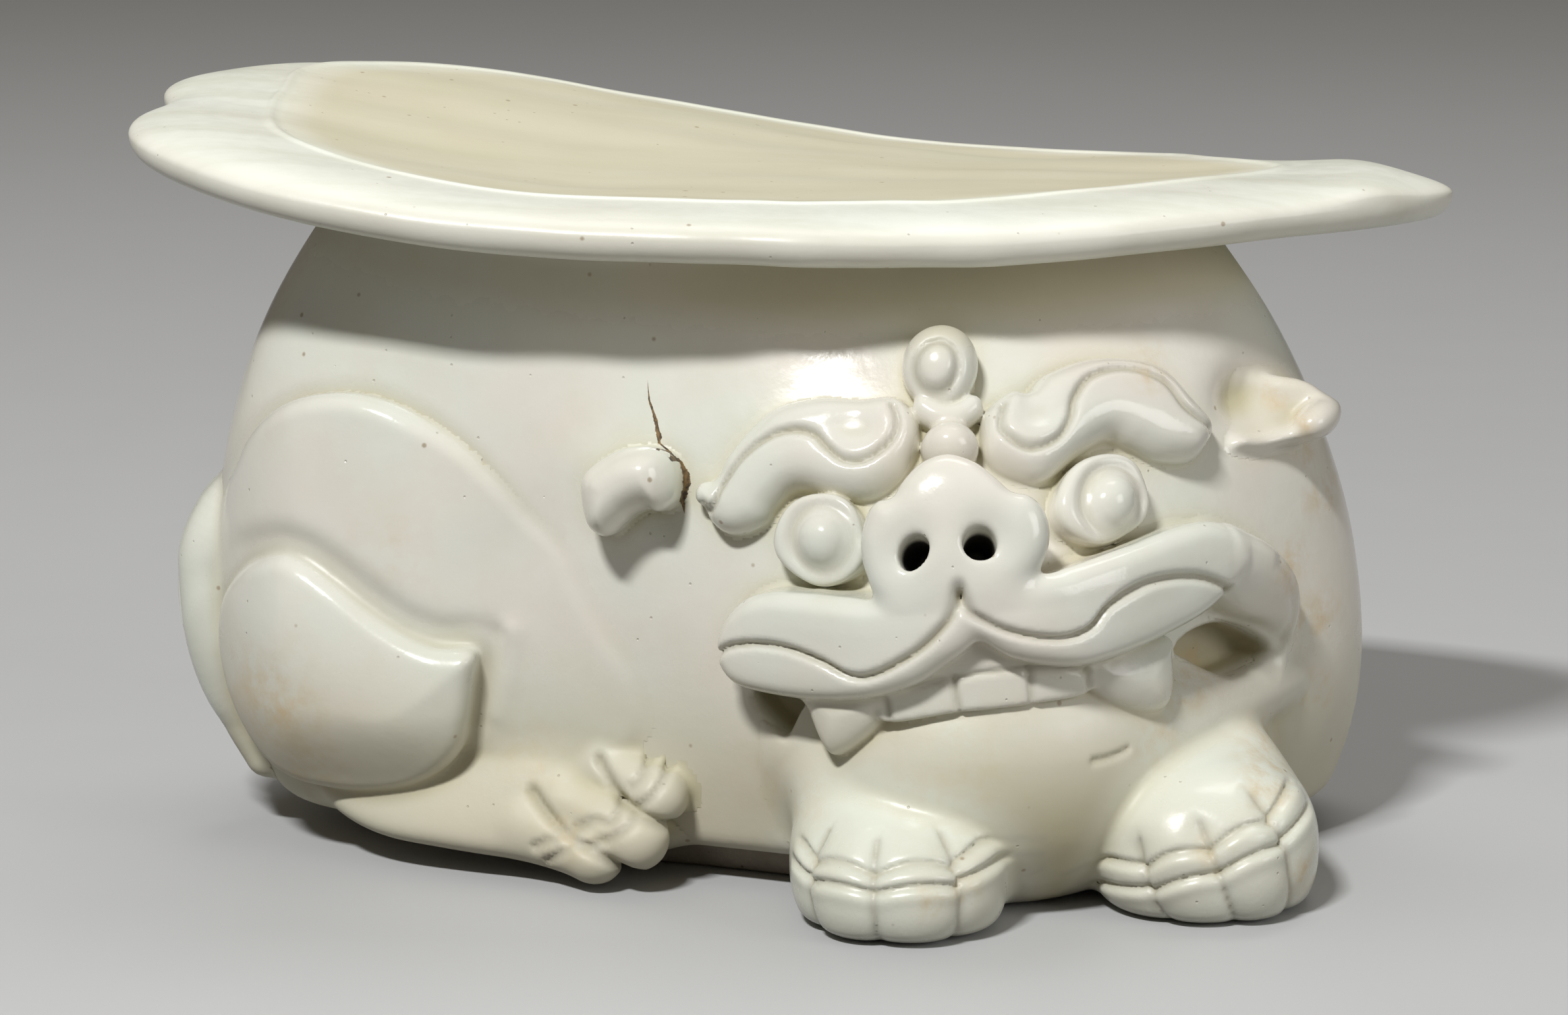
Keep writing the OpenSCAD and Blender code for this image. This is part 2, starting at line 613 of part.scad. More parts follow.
headrest();
body_shell();
base_slab();
near_thigh();
near_shank();
near_hind_paw();
far_thigh();
far_shank();
far_hind_paw();
tail();
left_forepaw();
right_forepaw();
lower_jaw();
nose();
left_lip();
right_lip();
teeth();
left_fang();
right_fang();
left_eye_rim();
right_eye_rim();
left_eyeball();
right_eyeball();
left_brow();
right_brow();
crest_knob();
crest_collar();
bridge_bead();
left_ear();
right_ear();
right_cheek();
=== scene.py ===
"""Looks of the ceramic pillow: a crouching lion of white-glazed clay under a leaf-shaped headrest.

The lion is sculpted in millimetres on distance fields, which are negative inside the clay. Pieces of
clay are placed by their foot on the body's surface, (x, z), and their rise above it. The finished
skins become meshes in metres.
"""
import math

import bpy
import numpy as np
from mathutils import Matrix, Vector


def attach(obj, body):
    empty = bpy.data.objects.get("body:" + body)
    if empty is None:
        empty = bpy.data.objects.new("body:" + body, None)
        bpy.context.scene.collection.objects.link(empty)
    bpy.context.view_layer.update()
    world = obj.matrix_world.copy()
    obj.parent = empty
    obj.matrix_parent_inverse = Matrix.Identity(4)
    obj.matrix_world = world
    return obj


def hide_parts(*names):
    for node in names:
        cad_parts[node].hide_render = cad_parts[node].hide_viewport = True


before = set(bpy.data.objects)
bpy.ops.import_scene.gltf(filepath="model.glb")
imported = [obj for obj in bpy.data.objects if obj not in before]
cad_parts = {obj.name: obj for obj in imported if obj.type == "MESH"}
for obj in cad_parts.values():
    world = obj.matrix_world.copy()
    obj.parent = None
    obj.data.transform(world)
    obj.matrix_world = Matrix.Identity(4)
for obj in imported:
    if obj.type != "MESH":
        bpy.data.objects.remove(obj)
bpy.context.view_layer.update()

# Body, as in the CAD source
BODY_HALF_LEN = 107.0
FLANK_OUT = 43.0
BACK_OUT = 50.0
BELT_Z = 40.0
SHOULDER_LEN_R = 115.0
SHOULDER_DEPTH_R = 140.0
BELLY_R = 86.0
BODY_LEAN = 0.075
BODY_SHIFT = 4.5
PLAN_POWER = 2.3
HEAD_OUT = 27.0
HEAD_X = 36.0
HEAD_SPREAD = 44.0
HEAD_TURN_Z = 58.0
HEAD_FALL = 56.0
BASE_THICK = 6.0
BASE_INSET = 7.0

# Headrest, as in the CAD source
LEAF_HALF_LEN = 122.7
LEAF_HALF_DEPTH = 63.0
LEAF_THICK = 9.0
LEAF_Z = 114.5
LEAF_CURL = 13.0
LEAF_BACK_LIFT = 13.7
LEAF_SAG = 1.2
LEAF_DROOP = 2.0
LEAF_NOTCH = 5.0
LEAF_DISH = 0.7
LEAF_X = 1.3
LEAF_Y = 3.0

# Finer forms of the sculpt
LEAF_EDGE_Z = 0.47 * LEAF_THICK   # the outermost edge's height above the leaf's underside
LEAF_LINE = 0.74                  # place of the raised line round the dish, as a share of the reach
LEAF_BEAD = 0.5                   # height of that line
MOUTH_DEPTH = 8.0                 # depth of the pockets at the corners of the mouth
NOSE_X = 29.0                     # middle of the nose
NOSTRIL_R = 2.0
RAISED = 0.015                    # a piece's skin begins this far above the body's
ROOT = 0.9                        # and its underside lies this far below it
CLEAR = 99.0                      # a distance clear of all clay

# Grid steps of the sculpt
FACE_STEP = 0.6
NEAR_STEP = 0.8
FAR_STEP = 1.1
TRUNK_STEP = 1.25


# Curves

def ease(u):
    c = np.clip(u, 0, 1)
    return c * c * (3 - 2 * c)


def bell(u):
    return np.exp(-u * u)


def mix(a, b, u):
    return a + (b - a) * u


def smooth_min(a, b, k):
    h = np.clip(0.5 + 0.5 * (b - a) / k, 0, 1)
    return b + (a - b) * h - k * h * (1 - h)


def smooth_max(a, b, k):
    return -smooth_min(-a, -b, k)


def through(points, closed=False, per=7):
    """A smooth curve through the points, as an array with per steps between neighbours."""
    p = np.array(points, float)
    n = len(p)
    spans = n if closed else n - 1
    knots = np.arange(-1, n + 2)
    knots = knots % n if closed else np.clip(knots, 0, n - 1)
    q = p[knots]
    f = np.linspace(0, 1, per, endpoint=False)[:, None]
    rows = []
    for i in range(spans):
        a, b, c, d = q[i], q[i + 1], q[i + 2], q[i + 3]
        rows.append(b + 0.5 * f * (c - a + f * (2 * a - 5 * b + 4 * c - d + f * (3 * (b - c) + d - a))))
    if not closed:
        rows.append(p[-1:])
    return np.concatenate(rows)


# The body's surface

def fullness(z, top_r):
    """Share of the body's greatest reach that is left at a height."""
    reach = np.where(z > BELT_Z, top_r, BELLY_R)
    return np.sqrt(np.maximum(0.05, 1 - ((z - BELT_Z) / reach) ** 2))


def mid_x(z):
    return BODY_SHIFT - BODY_LEAN * z


def half_len(z):
    return BODY_HALF_LEN * fullness(z, SHOULDER_LEN_R)


def front_out(x, z):
    fall = 1 - ease((z - HEAD_TURN_Z) / HEAD_FALL)
    chin = mix(0.85, 1, ease((z / BELT_Z - 0.1) / 0.65))
    head = HEAD_OUT * bell((x - HEAD_X) / HEAD_SPREAD) * fall * chin
    return FLANK_OUT * fullness(z, SHOULDER_DEPTH_R) + head


def rear_out(z):
    return BACK_OUT * fullness(z, SHOULDER_DEPTH_R)


def front_y(x, z):
    """Where the front of the body lies at x and z."""
    across = np.clip(np.abs(x - mid_x(z)) / half_len(z), 0, 1)
    return -front_out(x, z) * (1 - across ** PLAN_POWER) ** (1 / PLAN_POWER)


def leaf_lift(x, y):
    """How far the leaf bends up from level: the left end and the back rise, the front droops a little."""
    u = x / LEAF_HALF_LEN
    v = y / LEAF_HALF_DEPTH
    curl = LEAF_CURL * ease((-u - 0.24) / 0.82)
    back = LEAF_BACK_LIFT + LEAF_SAG - 0.6 * curl
    lift = curl * (1 - 0.39 * ease((-0.14 - v) / 0.8))
    lift = lift + ease((v + 0.32) / 1.27) * (back * ease((0.37 - u) / 1.01) - LEAF_SAG)
    return lift - LEAF_DROOP * bell((u - 0.3) / 0.35) * ease((-v - 0.3) / 0.6)


def hand_work(x, y, z):
    """The slight unevenness of a form smoothed by hand."""
    return (0.32 * np.sin(x / 13 + z / 29) * np.sin(z / 17 - y / 23)
            + 0.16 * np.sin(x / 7 - y / 9 + 1) * np.sin(z / 8 + y / 11))


# The sculpt

class Block:
    """A box of the sculpt on a regular grid, with the plain body's skin and all that is added to it."""

    def __init__(self, low, high, step):
        self.low = np.array(low, np.float32)
        self.step = step
        axes = [np.arange(a, b, step, dtype=np.float32) for a, b in zip(low, high)]
        self.x, self.y, self.z = np.meshgrid(*axes, indexing="ij", sparse=True)
        self.measure()
        self.body = self.plain_body()
        self.skin = self.body.copy()
        self.near = np.full(self.skin.shape, CLEAR, np.float32)
        self.owner = np.full(self.skin.shape, -1, np.int8)
        self.mark = np.zeros(self.skin.shape, np.float32)
        self.pieces = []

    def measure(self):
        """The rise of each point above the body's surface, and the place of its foot there."""
        across = np.abs(self.x - mid_x(self.z)) / half_len(self.z)
        out = np.where(self.y < 0, front_out(self.x, self.z), rear_out(self.z))
        shell = (across ** PLAN_POWER + (np.abs(self.y) / out) ** PLAN_POWER) ** (1 / PLAN_POWER) - 1
        slopes = np.gradient(shell.astype(np.float32), self.step)
        slope = np.maximum(1e-6, np.sqrt(sum(s * s for s in slopes)))
        self.rise = (shell / slope).astype(np.float32)
        self.foot_x = self.x - self.rise * slopes[0] / slope
        self.foot_z = self.z - self.rise * slopes[2] / slope

    def plain_body(self):
        """The body without its added pieces: rounded foot, neck spreading to the headrest, mouth corners."""
        skin = self.rise + hand_work(self.x, self.y, self.z)
        skin = smooth_max(skin, BASE_THICK - self.z, 4)
        under = LEAF_Z + leaf_lift(self.x, self.y)
        skin = smooth_min(skin, under - self.z, 5)
        skin = np.maximum(skin, self.z - under + 0.1).astype(np.float32)
        skin = np.where(self.y < 0, skin + ear_dent(self), skin).astype(np.float32)
        self.open_mouth(skin)
        return skin

    def join(self, patch, piece, field, blend):
        """Adds a piece of clay, smoothed into what is there."""
        if piece not in self.pieces:
            self.pieces.append(piece)
        cut = patch.cut
        self.skin[cut] = smooth_min(self.skin[cut], field, blend)
        closer = field < self.near[cut]
        self.near[cut][closer] = field[closer]
        self.owner[cut][closer] = self.pieces.index(piece)

    def score(self, patch, gap, depth, width, above=-2, mark=1.0):
        """Scores a line into the skin, above some rise, and darkens it by mark: painted shade, with glaze
        pooled in the cut.

        gap is the distance from the line.
        """
        cut = bell(gap / width) * ease((patch.rise - above) / 2)
        self.skin[patch.cut] += depth * cut
        self.mark[patch.cut] = np.maximum(self.mark[patch.cut], mark * cut)

    def carve(self, patch, field, blend):
        self.skin[patch.cut] = smooth_max(self.skin[patch.cut], -field, blend)

    def open_mouth(self, skin):
        """Cuts the pockets at the corners of the mouth into a skin."""
        for outline in MOUTH_CORNERS:
            patch = on_face(self, outline, margin=6, rise=16, depth=18)
            if patch.rise.size:
                pocket = np.maximum(patch.distance(outline, closed=True), -MOUTH_DEPTH - patch.rise)
                skin[patch.cut] = smooth_max(skin[patch.cut], -pocket, 1.6)

    def read(self, field, points):
        """The field's values at points in millimetres."""
        at = (points - self.low) / self.step
        top = np.array(field.shape) - 1.001
        at = np.clip(at, 0, top)
        i = at.astype(np.int32)
        f = (at - i).astype(np.float32)
        total = 0
        for dx in (0, 1):
            for dy in (0, 1):
                for dz in (0, 1):
                    share = (np.abs(1 - dx - f[:, 0]) * np.abs(1 - dy - f[:, 1]) * np.abs(1 - dz - f[:, 2]))
                    total = total + share * field[i[:, 0] + dx, i[:, 1] + dy, i[:, 2] + dz]
        return total

    def around(self, field, points, reach):
        """The field's values at a reach ahead of points and behind them, along the three axes."""
        steps = np.eye(3, dtype=np.float32) * reach
        for way in (steps, -steps):
            yield np.stack([self.read(field, points + step) for step in way], axis=1)

    def slope(self, field, points):
        """The field's direction of growth at points, as unit vectors."""
        ahead, behind = self.around(field, points, 0.8 * self.step)
        way = ahead - behind
        return way / np.maximum(1e-6, np.linalg.norm(way, axis=1))[:, None]

    def holds(self, points):
        high = self.low + self.step * (np.array(self.skin.shape) - 1)
        return np.all((points > self.low + 4) & (points < high - 4), axis=1)

    def hollow(self, points, reach):
        """How hollow, positive, or how sharp, negative, the skin is within reach of each point."""
        ahead, behind = self.around(self.skin, points, reach)
        return -(ahead + behind).sum(axis=1) / 6 / reach


class Patch:
    """The part of a block in which one piece of clay is shaped."""

    def __init__(self, block, low, high):
        spans = []
        for a, b, origin in zip(low, high, block.low):
            first = max(0, int((a - origin) / block.step))
            spans.append(slice(first, max(first + 2, int((b - origin) / block.step) + 2)))
        self.cut = tuple(spans)
        self.x = block.x[spans[0]]
        self.y = block.y[:, spans[1]]
        self.z = block.z[:, :, spans[2]]
        self.rise = block.rise[self.cut]
        self.foot_x = block.foot_x[self.cut]
        self.foot_z = block.foot_z[self.cut]

    def seen_distance(self, points):
        """Distance of each point from a line drawn as seen from the front, in x and z."""
        flat = line_distance(self.x[:, 0, 0][:, None], self.z[0, 0][None, :], through(points), closed=False)
        return flat[:, None, :]

    def distance(self, points, closed=False):
        """Distance of each foot from a curve; inside a closed outline it is negative."""
        cell = 0.3
        x0, x1 = self.foot_x.min(), self.foot_x.max()
        z0, z1 = self.foot_z.min(), self.foot_z.max()
        gx = np.arange(x0, x1 + 2 * cell, cell)[:, None]
        gz = np.arange(z0, z1 + 2 * cell, cell)[None, :]
        flat = line_distance(gx, gz, through(points, closed), closed).astype(np.float32)
        u = np.clip((self.foot_x - x0) / cell, 0, flat.shape[0] - 1.01)
        v = np.clip((self.foot_z - z0) / cell, 0, flat.shape[1] - 1.01)
        i, j = u.astype(np.int32), v.astype(np.int32)
        u, v = u - i, v - j
        low = flat[i, j] * (1 - u) + flat[i + 1, j] * u
        high = flat[i, j + 1] * (1 - u) + flat[i + 1, j + 1] * u
        return low * (1 - v) + high * v


def line_distance(x, z, line, closed):
    """Distance of points in a plane from a line of short pieces, negative inside a closed one."""
    ends = np.roll(line, -1, axis=0)
    last = len(line) if closed else len(line) - 1
    best = np.full(np.broadcast(x, z).shape, 1e9)
    inside = np.zeros(best.shape, bool)
    for (ax, az), (bx, bz) in zip(line[:last], ends[:last]):
        dx, dz = bx - ax, bz - az
        t = np.clip(((x - ax) * dx + (z - az) * dz) / max(1e-9, dx * dx + dz * dz), 0, 1)
        best = np.minimum(best, (x - ax - t * dx) ** 2 + (z - az - t * dz) ** 2)
        if closed and az != bz:
            inside ^= ((az > z) != (bz > z)) & (x < ax + (z - az) * dx / dz)
    best = np.sqrt(best)
    return np.where(inside, -best, best)


def egg(x, y, z, radii, power=2.0):
    """Distance to an ellipsoid about the origin, or to a squarer mass where the power is over 2."""
    shares = [np.abs(v) / r for v, r in zip((x, y, z), radii)]
    near = np.maximum(1e-3, sum(q ** power for q in shares)) ** (1 / power)
    steep = np.sqrt(sum((q ** (power - 1) / r) ** 2 for q, r in zip(shares, radii)))
    return (near - 1) * near ** (power - 1) / np.maximum(1e-6, steep)


def on_face(block, points, margin, rise, depth=5):
    """The patch round foot points on the front, up to a rise."""
    p = np.array(points, float)
    x0, z0 = p.min(axis=0) - margin
    x1, z1 = p.max(axis=0) + margin
    gx = np.linspace(x0, x1, 9)[:, None]
    gz = np.linspace(z0, z1, 9)[None, :]
    y = front_y(gx, gz)
    return Patch(block, (x0, y.min() - rise - 2, z0 - rise * 0.4), (x1, y.max() + depth, z1 + rise * 0.5))


def outlined(block, outline, margin, rise):
    """The patch round an outline on the front, and the distance outside the outline."""
    patch = on_face(block, outline, margin, rise)
    return patch, patch.distance(outline, closed=True)


def gap_from(place, x, z):
    """Distance of each foot in a block or patch from the foot (x, z)."""
    return np.hypot(place.foot_x - x, place.foot_z - z)


def lump(patch, x, z, rise, radii):
    """Distance to an ellipsoid on the front, by the foot and the rise of its middle."""
    return egg(patch.foot_x - x, patch.foot_z - z, patch.rise - rise, radii)


def slab(side, rise, top, edge, sink=3.0):
    """A plate of clay: side is the distance outside its outline, top its height, edge its roundness."""
    half = (top + sink) / 2
    edge = np.minimum(edge, half - 0.1)
    out = side + edge
    up = np.abs(rise - (top - sink) / 2) - half + edge
    return np.minimum(np.maximum(out, up), 0) + np.hypot(np.maximum(out, 0), np.maximum(up, 0)) - edge


def crown(side, height, reach):
    """Height of a dome that rises from an outline over the reach."""
    return height * (1 - (1 - np.clip(-side / reach, 0, 1)) ** 2)


def capsule(patch, start, end, start_r, end_r):
    """Distance to a rod with round ends, which may differ in radius."""
    a, b = np.array(start, float), np.array(end, float)
    way = b - a
    gaps = (patch.x - a[0], patch.y - a[1], patch.z - a[2])
    t = np.clip(sum(g * w for g, w in zip(gaps, way)) / (way @ way), 0, 1)
    gap = np.sqrt(sum((g - t * w) ** 2 for g, w in zip(gaps, way)))
    return gap - mix(start_r, end_r, t)


# Hind legs and tail

THIGH = [(-104, 62), (-99.4, 72.2), (-97.2, 76.3), (-92, 81.7), (-85.5, 85.2), (-77.8, 86.7), (-71, 85.9),
         (-63.7, 82.8), (-57, 78), (-52.2, 72.6), (-46.8, 65.6), (-41.3, 59.8), (-38.4, 53.9), (-33.6, 45),
         (-28, 36), (-30, 25), (-60, 22), (-100, 22), (-105, 45)]
SHANK = [(-102, 46), (-96.8, 53.2), (-90, 56.9), (-85, 56.6), (-79.2, 53.1), (-73.3, 48.7), (-67.4, 44.9),
         (-61.5, 42.6), (-54.5, 42), (-54.6, 36), (-56, 27), (-60, 20.5), (-68, 15.6), (-80.7, 14), (-92, 16),
         (-99, 24), (-103, 36)]


def hind_leg(block, side, mirror):
    """The thigh, the folded shank and the paw, on the front or, mirrored, on the back."""
    low = np.array((-119, -70 if mirror > 0 else 2, -2))
    patch = Patch(block, low, low + (112, 70, 96))
    rump = ease((patch.foot_x + 109) / 24)
    thigh = patch.distance(THIGH, closed=True)
    fade = ease((-34 - patch.foot_x) / 42) * ease((patch.foot_z - 12) / 16)
    top = (5.4 * rump + 1.2) * fade - 1.2
    soft = mix(1.2, 5.0, ease((patch.foot_x + 70) / 36))
    block.join(patch, side + "_thigh", slab(thigh, patch.rise, top, edge=3.6), blend=soft)
    # painted shade in the crease along the thigh's outline, towards its left
    crease_shade = 0.4 * ease((-44 - patch.foot_x) / 20)
    block.score(patch, thigh - 1.2, depth=0.2, width=1.6, above=-3, mark=crease_shade)
    shank = patch.distance(SHANK, closed=True)
    # a groove round the shank and the crease at its edge, both with painted shade
    block.score(patch, shank - 2.6, depth=1.2, width=2.6, above=0, mark=0.12)
    block.score(patch, shank - 0.9, depth=0.2, width=1.3, above=-3, mark=0.5)
    lower = mix(0.7, 1, ease((patch.foot_z - 14) / 18))
    top = (7 + crown(shank, 3.2, 18)) * mix(0.35, 1, rump) * lower
    block.join(patch, side + "_shank", slab(shank, patch.rise, top, edge=2.8), blend=0.9)
    channel = patch.distance([(-51.6, 44.5), (-52.8, 37), (-54.5, 29)])
    ridge = patch.distance([(-48.6, 45.5), (-50, 37), (-51.6, 30)])
    block.score(patch, ridge, depth=-0.7, width=2.0, above=-3, mark=0)
    block.score(patch, channel, depth=0.7, width=2.2, above=-3, mark=0)
    hind_paw(block, patch, side + "_hind_paw", mirror)


# Lines between the hind toes and across them, as seen from the front: x, z
TOE_GAPS = [[(-45, 16.5), (-39.6, 10.7), (-33, 7.6), (-26, 3.5)],
            [(-33, 22.4), (-28.5, 16.7), (-22.4, 13.4), (-16, 11)]]
TOE_CUTS = [[(-44.7, 7.6), (-41, 9.6)], [(-42.3, 5.2), (-38.6, 8.2)],
            [(-37.4, 11.2), (-34, 13.2), (-31, 13.4), (-28.4, 16.6)], [(-35, 8.8), (-31, 10.6), (-26.6, 14)],
            [(-27.4, 19.2), (-25, 21.6), (-23.2, 25)], [(-25.6, 16.4), (-23, 18.6), (-20.4, 22.4)]]

# The hind foot along its length: x, the height where it leaves the body, how far it stands out, its sole
FOOT = [(-92, 18, -3, 12), (-82, 20, 4.6, 8), (-72, 22, 7.6, 5), (-60, 26, 9, 4), (-46, 31, 9.6, 3),
        (-34, 30, 8, 2), (-24, 27, 4, 4), (-16, 23, -3, 7)]


def hind_paw(block, patch, piece, mirror):
    """The long foot under the shank: a slope on the body's side that ends in three toes."""
    def at(x, y, z):
        return (x, y * mirror, z)
    x, begin, out, sole = through(FOOT).T
    begin, out, sole = (np.interp(patch.foot_x, x, way) for way in (begin, out, sole))
    slope = patch.rise - mix(-3, out, ease((begin + 3 - patch.foot_z) / (begin - 4)))
    block.join(patch, piece, smooth_max(0.85 * slope, sole - patch.z, 5), blend=2)
    toes = [(at(-46, -42, 9.6), at(-33.8, -49.5, 6.4), 4.6, 5.4),
            (at(-39, -43, 14), at(-26.4, -50.6, 9.8), 4.6, 6),
            (at(-32, -42, 20.4), at(-22.6, -48.6, 16.8), 4.0, 5.4)]
    field = CLEAR
    for toe in toes:
        field = smooth_min(field, capsule(patch, *toe), 1.6)
    block.join(patch, piece, smooth_max(field, -patch.z, 2), blend=3)
    for line in TOE_GAPS:
        block.score(patch, patch.seen_distance(line), depth=1.2, width=0.9)
    for line in TOE_CUTS:
        block.score(patch, patch.seen_distance(line), depth=0.8, width=0.7)


def tail(block):
    """A flat roll that hugs the left end: two rods side by side, along points (x, y, z, radius)."""
    patch = Patch(block, (-121, -18, 2), (-84, 18, 76))
    line = through([(-98, 1, 67, 4), (-104, -1, 59, 6), (-107, -2, 49, 6.8), (-106.6, -2, 38, 7),
                    (-103.5, -2, 26, 6.4), (-97, -2, 14, 5)])
    field = CLEAR
    for aside in ((0, -3.2, 0), (0, 3.2, 0)):
        half = CLEAR
        for a, b in zip(line, line[1:]):
            half = np.minimum(half, capsule(patch, a[:3] + aside, b[:3] + aside, a[3], b[3]))
        field = smooth_min(field, half, 4)
    block.join(patch, "tail", field, blend=1.4)


# Forepaws, each by its middle

LEFT_PAW = (20.5, -64, 8)
RIGHT_PAW = (74.5, -53, 10)


def forepaw(block, piece, centre, radii, lean, gaps, knuckles, leg):
    """A paw: a foreleg, and one rounded mass scored into toes.

    gaps are the sides of the toes in plan, in degrees from straight ahead; knuckles are the heights of the
    cross cuts above the centre. The scoring leans to the right by some degrees. leg gives the foreleg's two
    ends and their radii.
    """
    cx, cy, cz = centre
    reach = np.array((radii[0] + 5, radii[1] + 5, 40))
    patch = Patch(block, centre - reach, centre + reach)
    block.join(patch, piece, capsule(patch, *leg), blend=7)
    c, s = math.cos(math.radians(lean)), math.sin(math.radians(lean))
    x, y, z = patch.x - cx, cy - patch.y, patch.z - cz
    aside, up = x * c + z * s, z * c - x * s
    field = smooth_min(egg(x, y, z, radii, power=2.3), capsule(patch, *leg), 6)
    toe = np.interp(np.degrees(np.arctan2(aside, np.maximum(y, 0.1))), gaps, np.arange(len(gaps)))
    number = np.floor(np.minimum(toe, len(gaps) - 1.01))
    across = 2 * (toe - number) - 1
    front = ease((y - 2) / 6) * ease((knuckles[0] + 6 - up) / 5)
    field = field + 1.9 * front * (1 - np.sqrt(np.maximum(0, 1 - 0.96 * across ** 2)))
    # painted shade in the gaps between the toes and in the knuckle cuts
    mark = bell((1 - np.abs(across)) / 0.1)
    for height, arch in zip(knuckles, (2.0, 1.2)):
        above = up - height - 0.6 * np.sin(2.4 * number + 1) + arch * across ** 2
        field = field + front * (1.0 * bell(above / 0.6) - 0.35 * bell((above + 1.7) / 1.4))
        mark = np.maximum(mark, 0.6 * bell(above / 0.6))
    block.join(patch, piece, smooth_max(field, -patch.z, 2.5), blend=1.4)
    mark = mark * (front > 0.5) * (patch.rise > 0)
    block.mark[patch.cut] = np.maximum(block.mark[patch.cut], mark)


def forepaws(block):
    forepaw(block, "left_forepaw", LEFT_PAW, radii=(19.4, 24, 14), lean=3, gaps=[-100, -50, -13, 25, 80],
            knuckles=[7.0, 3.6], leg=((8, -53, 27), (16, -62, 13), 8, 12))
    forepaw(block, "right_forepaw", RIGHT_PAW, radii=(20.5, 23, 17), lean=20, gaps=[-90, -30, 2, 36, 95],
            knuckles=[6.0, 1.2], leg=((78, -41, 19), (74, -50, 12), 11, 13))


# Face

MOUTH_CORNERS = [[(-5.8, 37.6), (-2.4, 39), (3.6, 39), (2.6, 34.6), (0.8, 30.6), (-2.4, 32.7), (-4.8, 35.1)],
                 [(69.6, 43.6), (73.3, 46.4), (78.5, 46.8), (84, 44.2), (88, 40.4), (85, 38.4), (79.5, 37.2),
                  (76.2, 38.4), (73, 41)]]
NOSE = [(28.4, 75.9), (32.4, 74.7), (35.5, 72.2), (37.3, 70.5), (39.4, 70.1), (41.2, 68.8), (42.2, 66.2),
        (41.7, 63), (39.9, 60.4), (36.5, 57.2), (33, 56.2), (29.5, 56.8), (24, 56), (20.6, 57.6),
        (18.4, 60.4), (17.1, 64), (17.5, 68), (19, 69.8), (21, 70.2), (22.2, 72.2), (24.7, 74.8)]
NOSTRILS = [(25.1, 62.6), (32.9, 63.2)]
LEFT_LIP = [(31, 60.5), (24, 59.5), (19.4, 58.1), (14.5, 58), (6.9, 57.9), (2, 57.5), (-2.6, 56), (-6, 52.8),
            (-8, 48.6), (-7.9, 44.4), (-5.4, 41.2), (-1.3, 40), (6.9, 39.7), (14.6, 40.4), (20.6, 41.8),
            (25.7, 44.3), (29, 47.4), (32.4, 51.4), (34, 56)]
RIGHT_LIP = [(29, 60.5), (36, 60), (42.2, 60.6), (45.7, 61.5), (53.2, 63.2), (61.4, 65), (68.3, 65.9),
             (73.5, 64.8), (77, 61.5), (77.2, 58.2), (73.4, 54.4), (68.3, 51.2), (61.3, 49), (54.8, 47.4),
             (47.2, 46.2), (41.9, 46.8), (37.2, 48.4), (34.1, 50.9), (30.5, 55)]
LIP_GROOVES = [[(-7.6, 45.6), (-5, 47.6), (0, 48.8), (6.1, 48.9), (12.2, 47.5), (17.1, 45.5), (21, 46.1),
                (26.3, 50.1), (29.4, 54.6), (30.8, 58.4)],
               [(30.8, 58.4), (32.8, 55.9), (36.3, 53.3), (41.8, 51.9), (46.3, 53.1), (49.6, 56.6),
                (55.6, 58.5), (62, 58.7), (67.8, 57.6), (73.5, 54.6)]]


def muzzle(block):
    """The nose and the two wings of the upper lip: one plate in the clay, cut from a slab and scored."""
    heights = [("left_lip", LEFT_LIP, 10.5), ("right_lip", RIGHT_LIP, 10.5), ("nose", NOSE, 11)]
    for piece, outline, height in heights:
        patch, side = outlined(block, outline, margin=5, rise=16)
        top = height + crown(side, 0.9, 6) + 2.2 * bell((patch.foot_x - 30) / 26) - 1.1
        block.join(patch, piece, slab(side, patch.rise, top, edge=2.7), blend=1.6)
    patch = on_face(block, LEFT_LIP + RIGHT_LIP + NOSE, margin=4, rise=17)
    for line in LIP_GROOVES:
        block.score(patch, patch.distance(line), depth=1.3, width=0.55, above=3)
    for x, z in NOSTRILS:
        flare = gap_from(patch, x + math.copysign(0.8, x - NOSE_X), z)
        block.score(patch, flare, depth=1.5, width=3.2, above=3, mark=0)
        hole = np.maximum(gap_from(patch, x, z) - NOSTRIL_R, 1 - patch.rise)
        block.carve(patch, hole, blend=0.7)


def teeth(block):
    outline = [(19.4, 41), (20, 36.7), (30.4, 38.8), (40.2, 39.8), (49.6, 41), (52, 47), (42, 49), (34, 53),
               (26, 47)]
    patch, side = outlined(block, outline, margin=4, rise=10)
    block.join(patch, "teeth", slab(side, patch.rise, 7.2, edge=1.0), blend=0.6)
    cuts = [[(20.4, 41), (20.8, 37.6)], [(29.8, 45), (30.5, 39.6)], [(39.7, 46.6), (40.3, 40.6)],
            [(48.6, 45.4), (49.1, 41.6)]]
    gum = [(24, 43.2), (29.8, 45), (34.6, 45.9), (39.7, 46.3), (44.4, 45.9), (49, 44.6)]
    for line in cuts + [gum]:
        block.score(patch, patch.distance(line), depth=0.7, width=0.42, above=2)


def fangs(block):
    left = [(5.8, 40.5), (7.1, 36.7), (8.5, 33.2), (10, 30.6), (11.4, 29.6), (13.1, 30.2), (15.8, 32.4),
            (18.4, 35.4), (20, 38.4), (20.6, 41), (13, 43)]
    right = [(48.8, 43.6), (49.4, 41.4), (52.6, 38.2), (57.1, 35.7), (60.9, 34.8), (63.6, 35.8), (64.9, 39),
             (64.7, 44.9), (64, 48), (56, 48), (50, 46.4)]
    for piece, outline in (("left_fang", left), ("right_fang", right)):
        patch, side = outlined(block, outline, margin=4, rise=12)
        block.join(patch, piece, slab(side, patch.rise, 6.4 + crown(side, 2.4, 6), edge=2), blend=0.6)


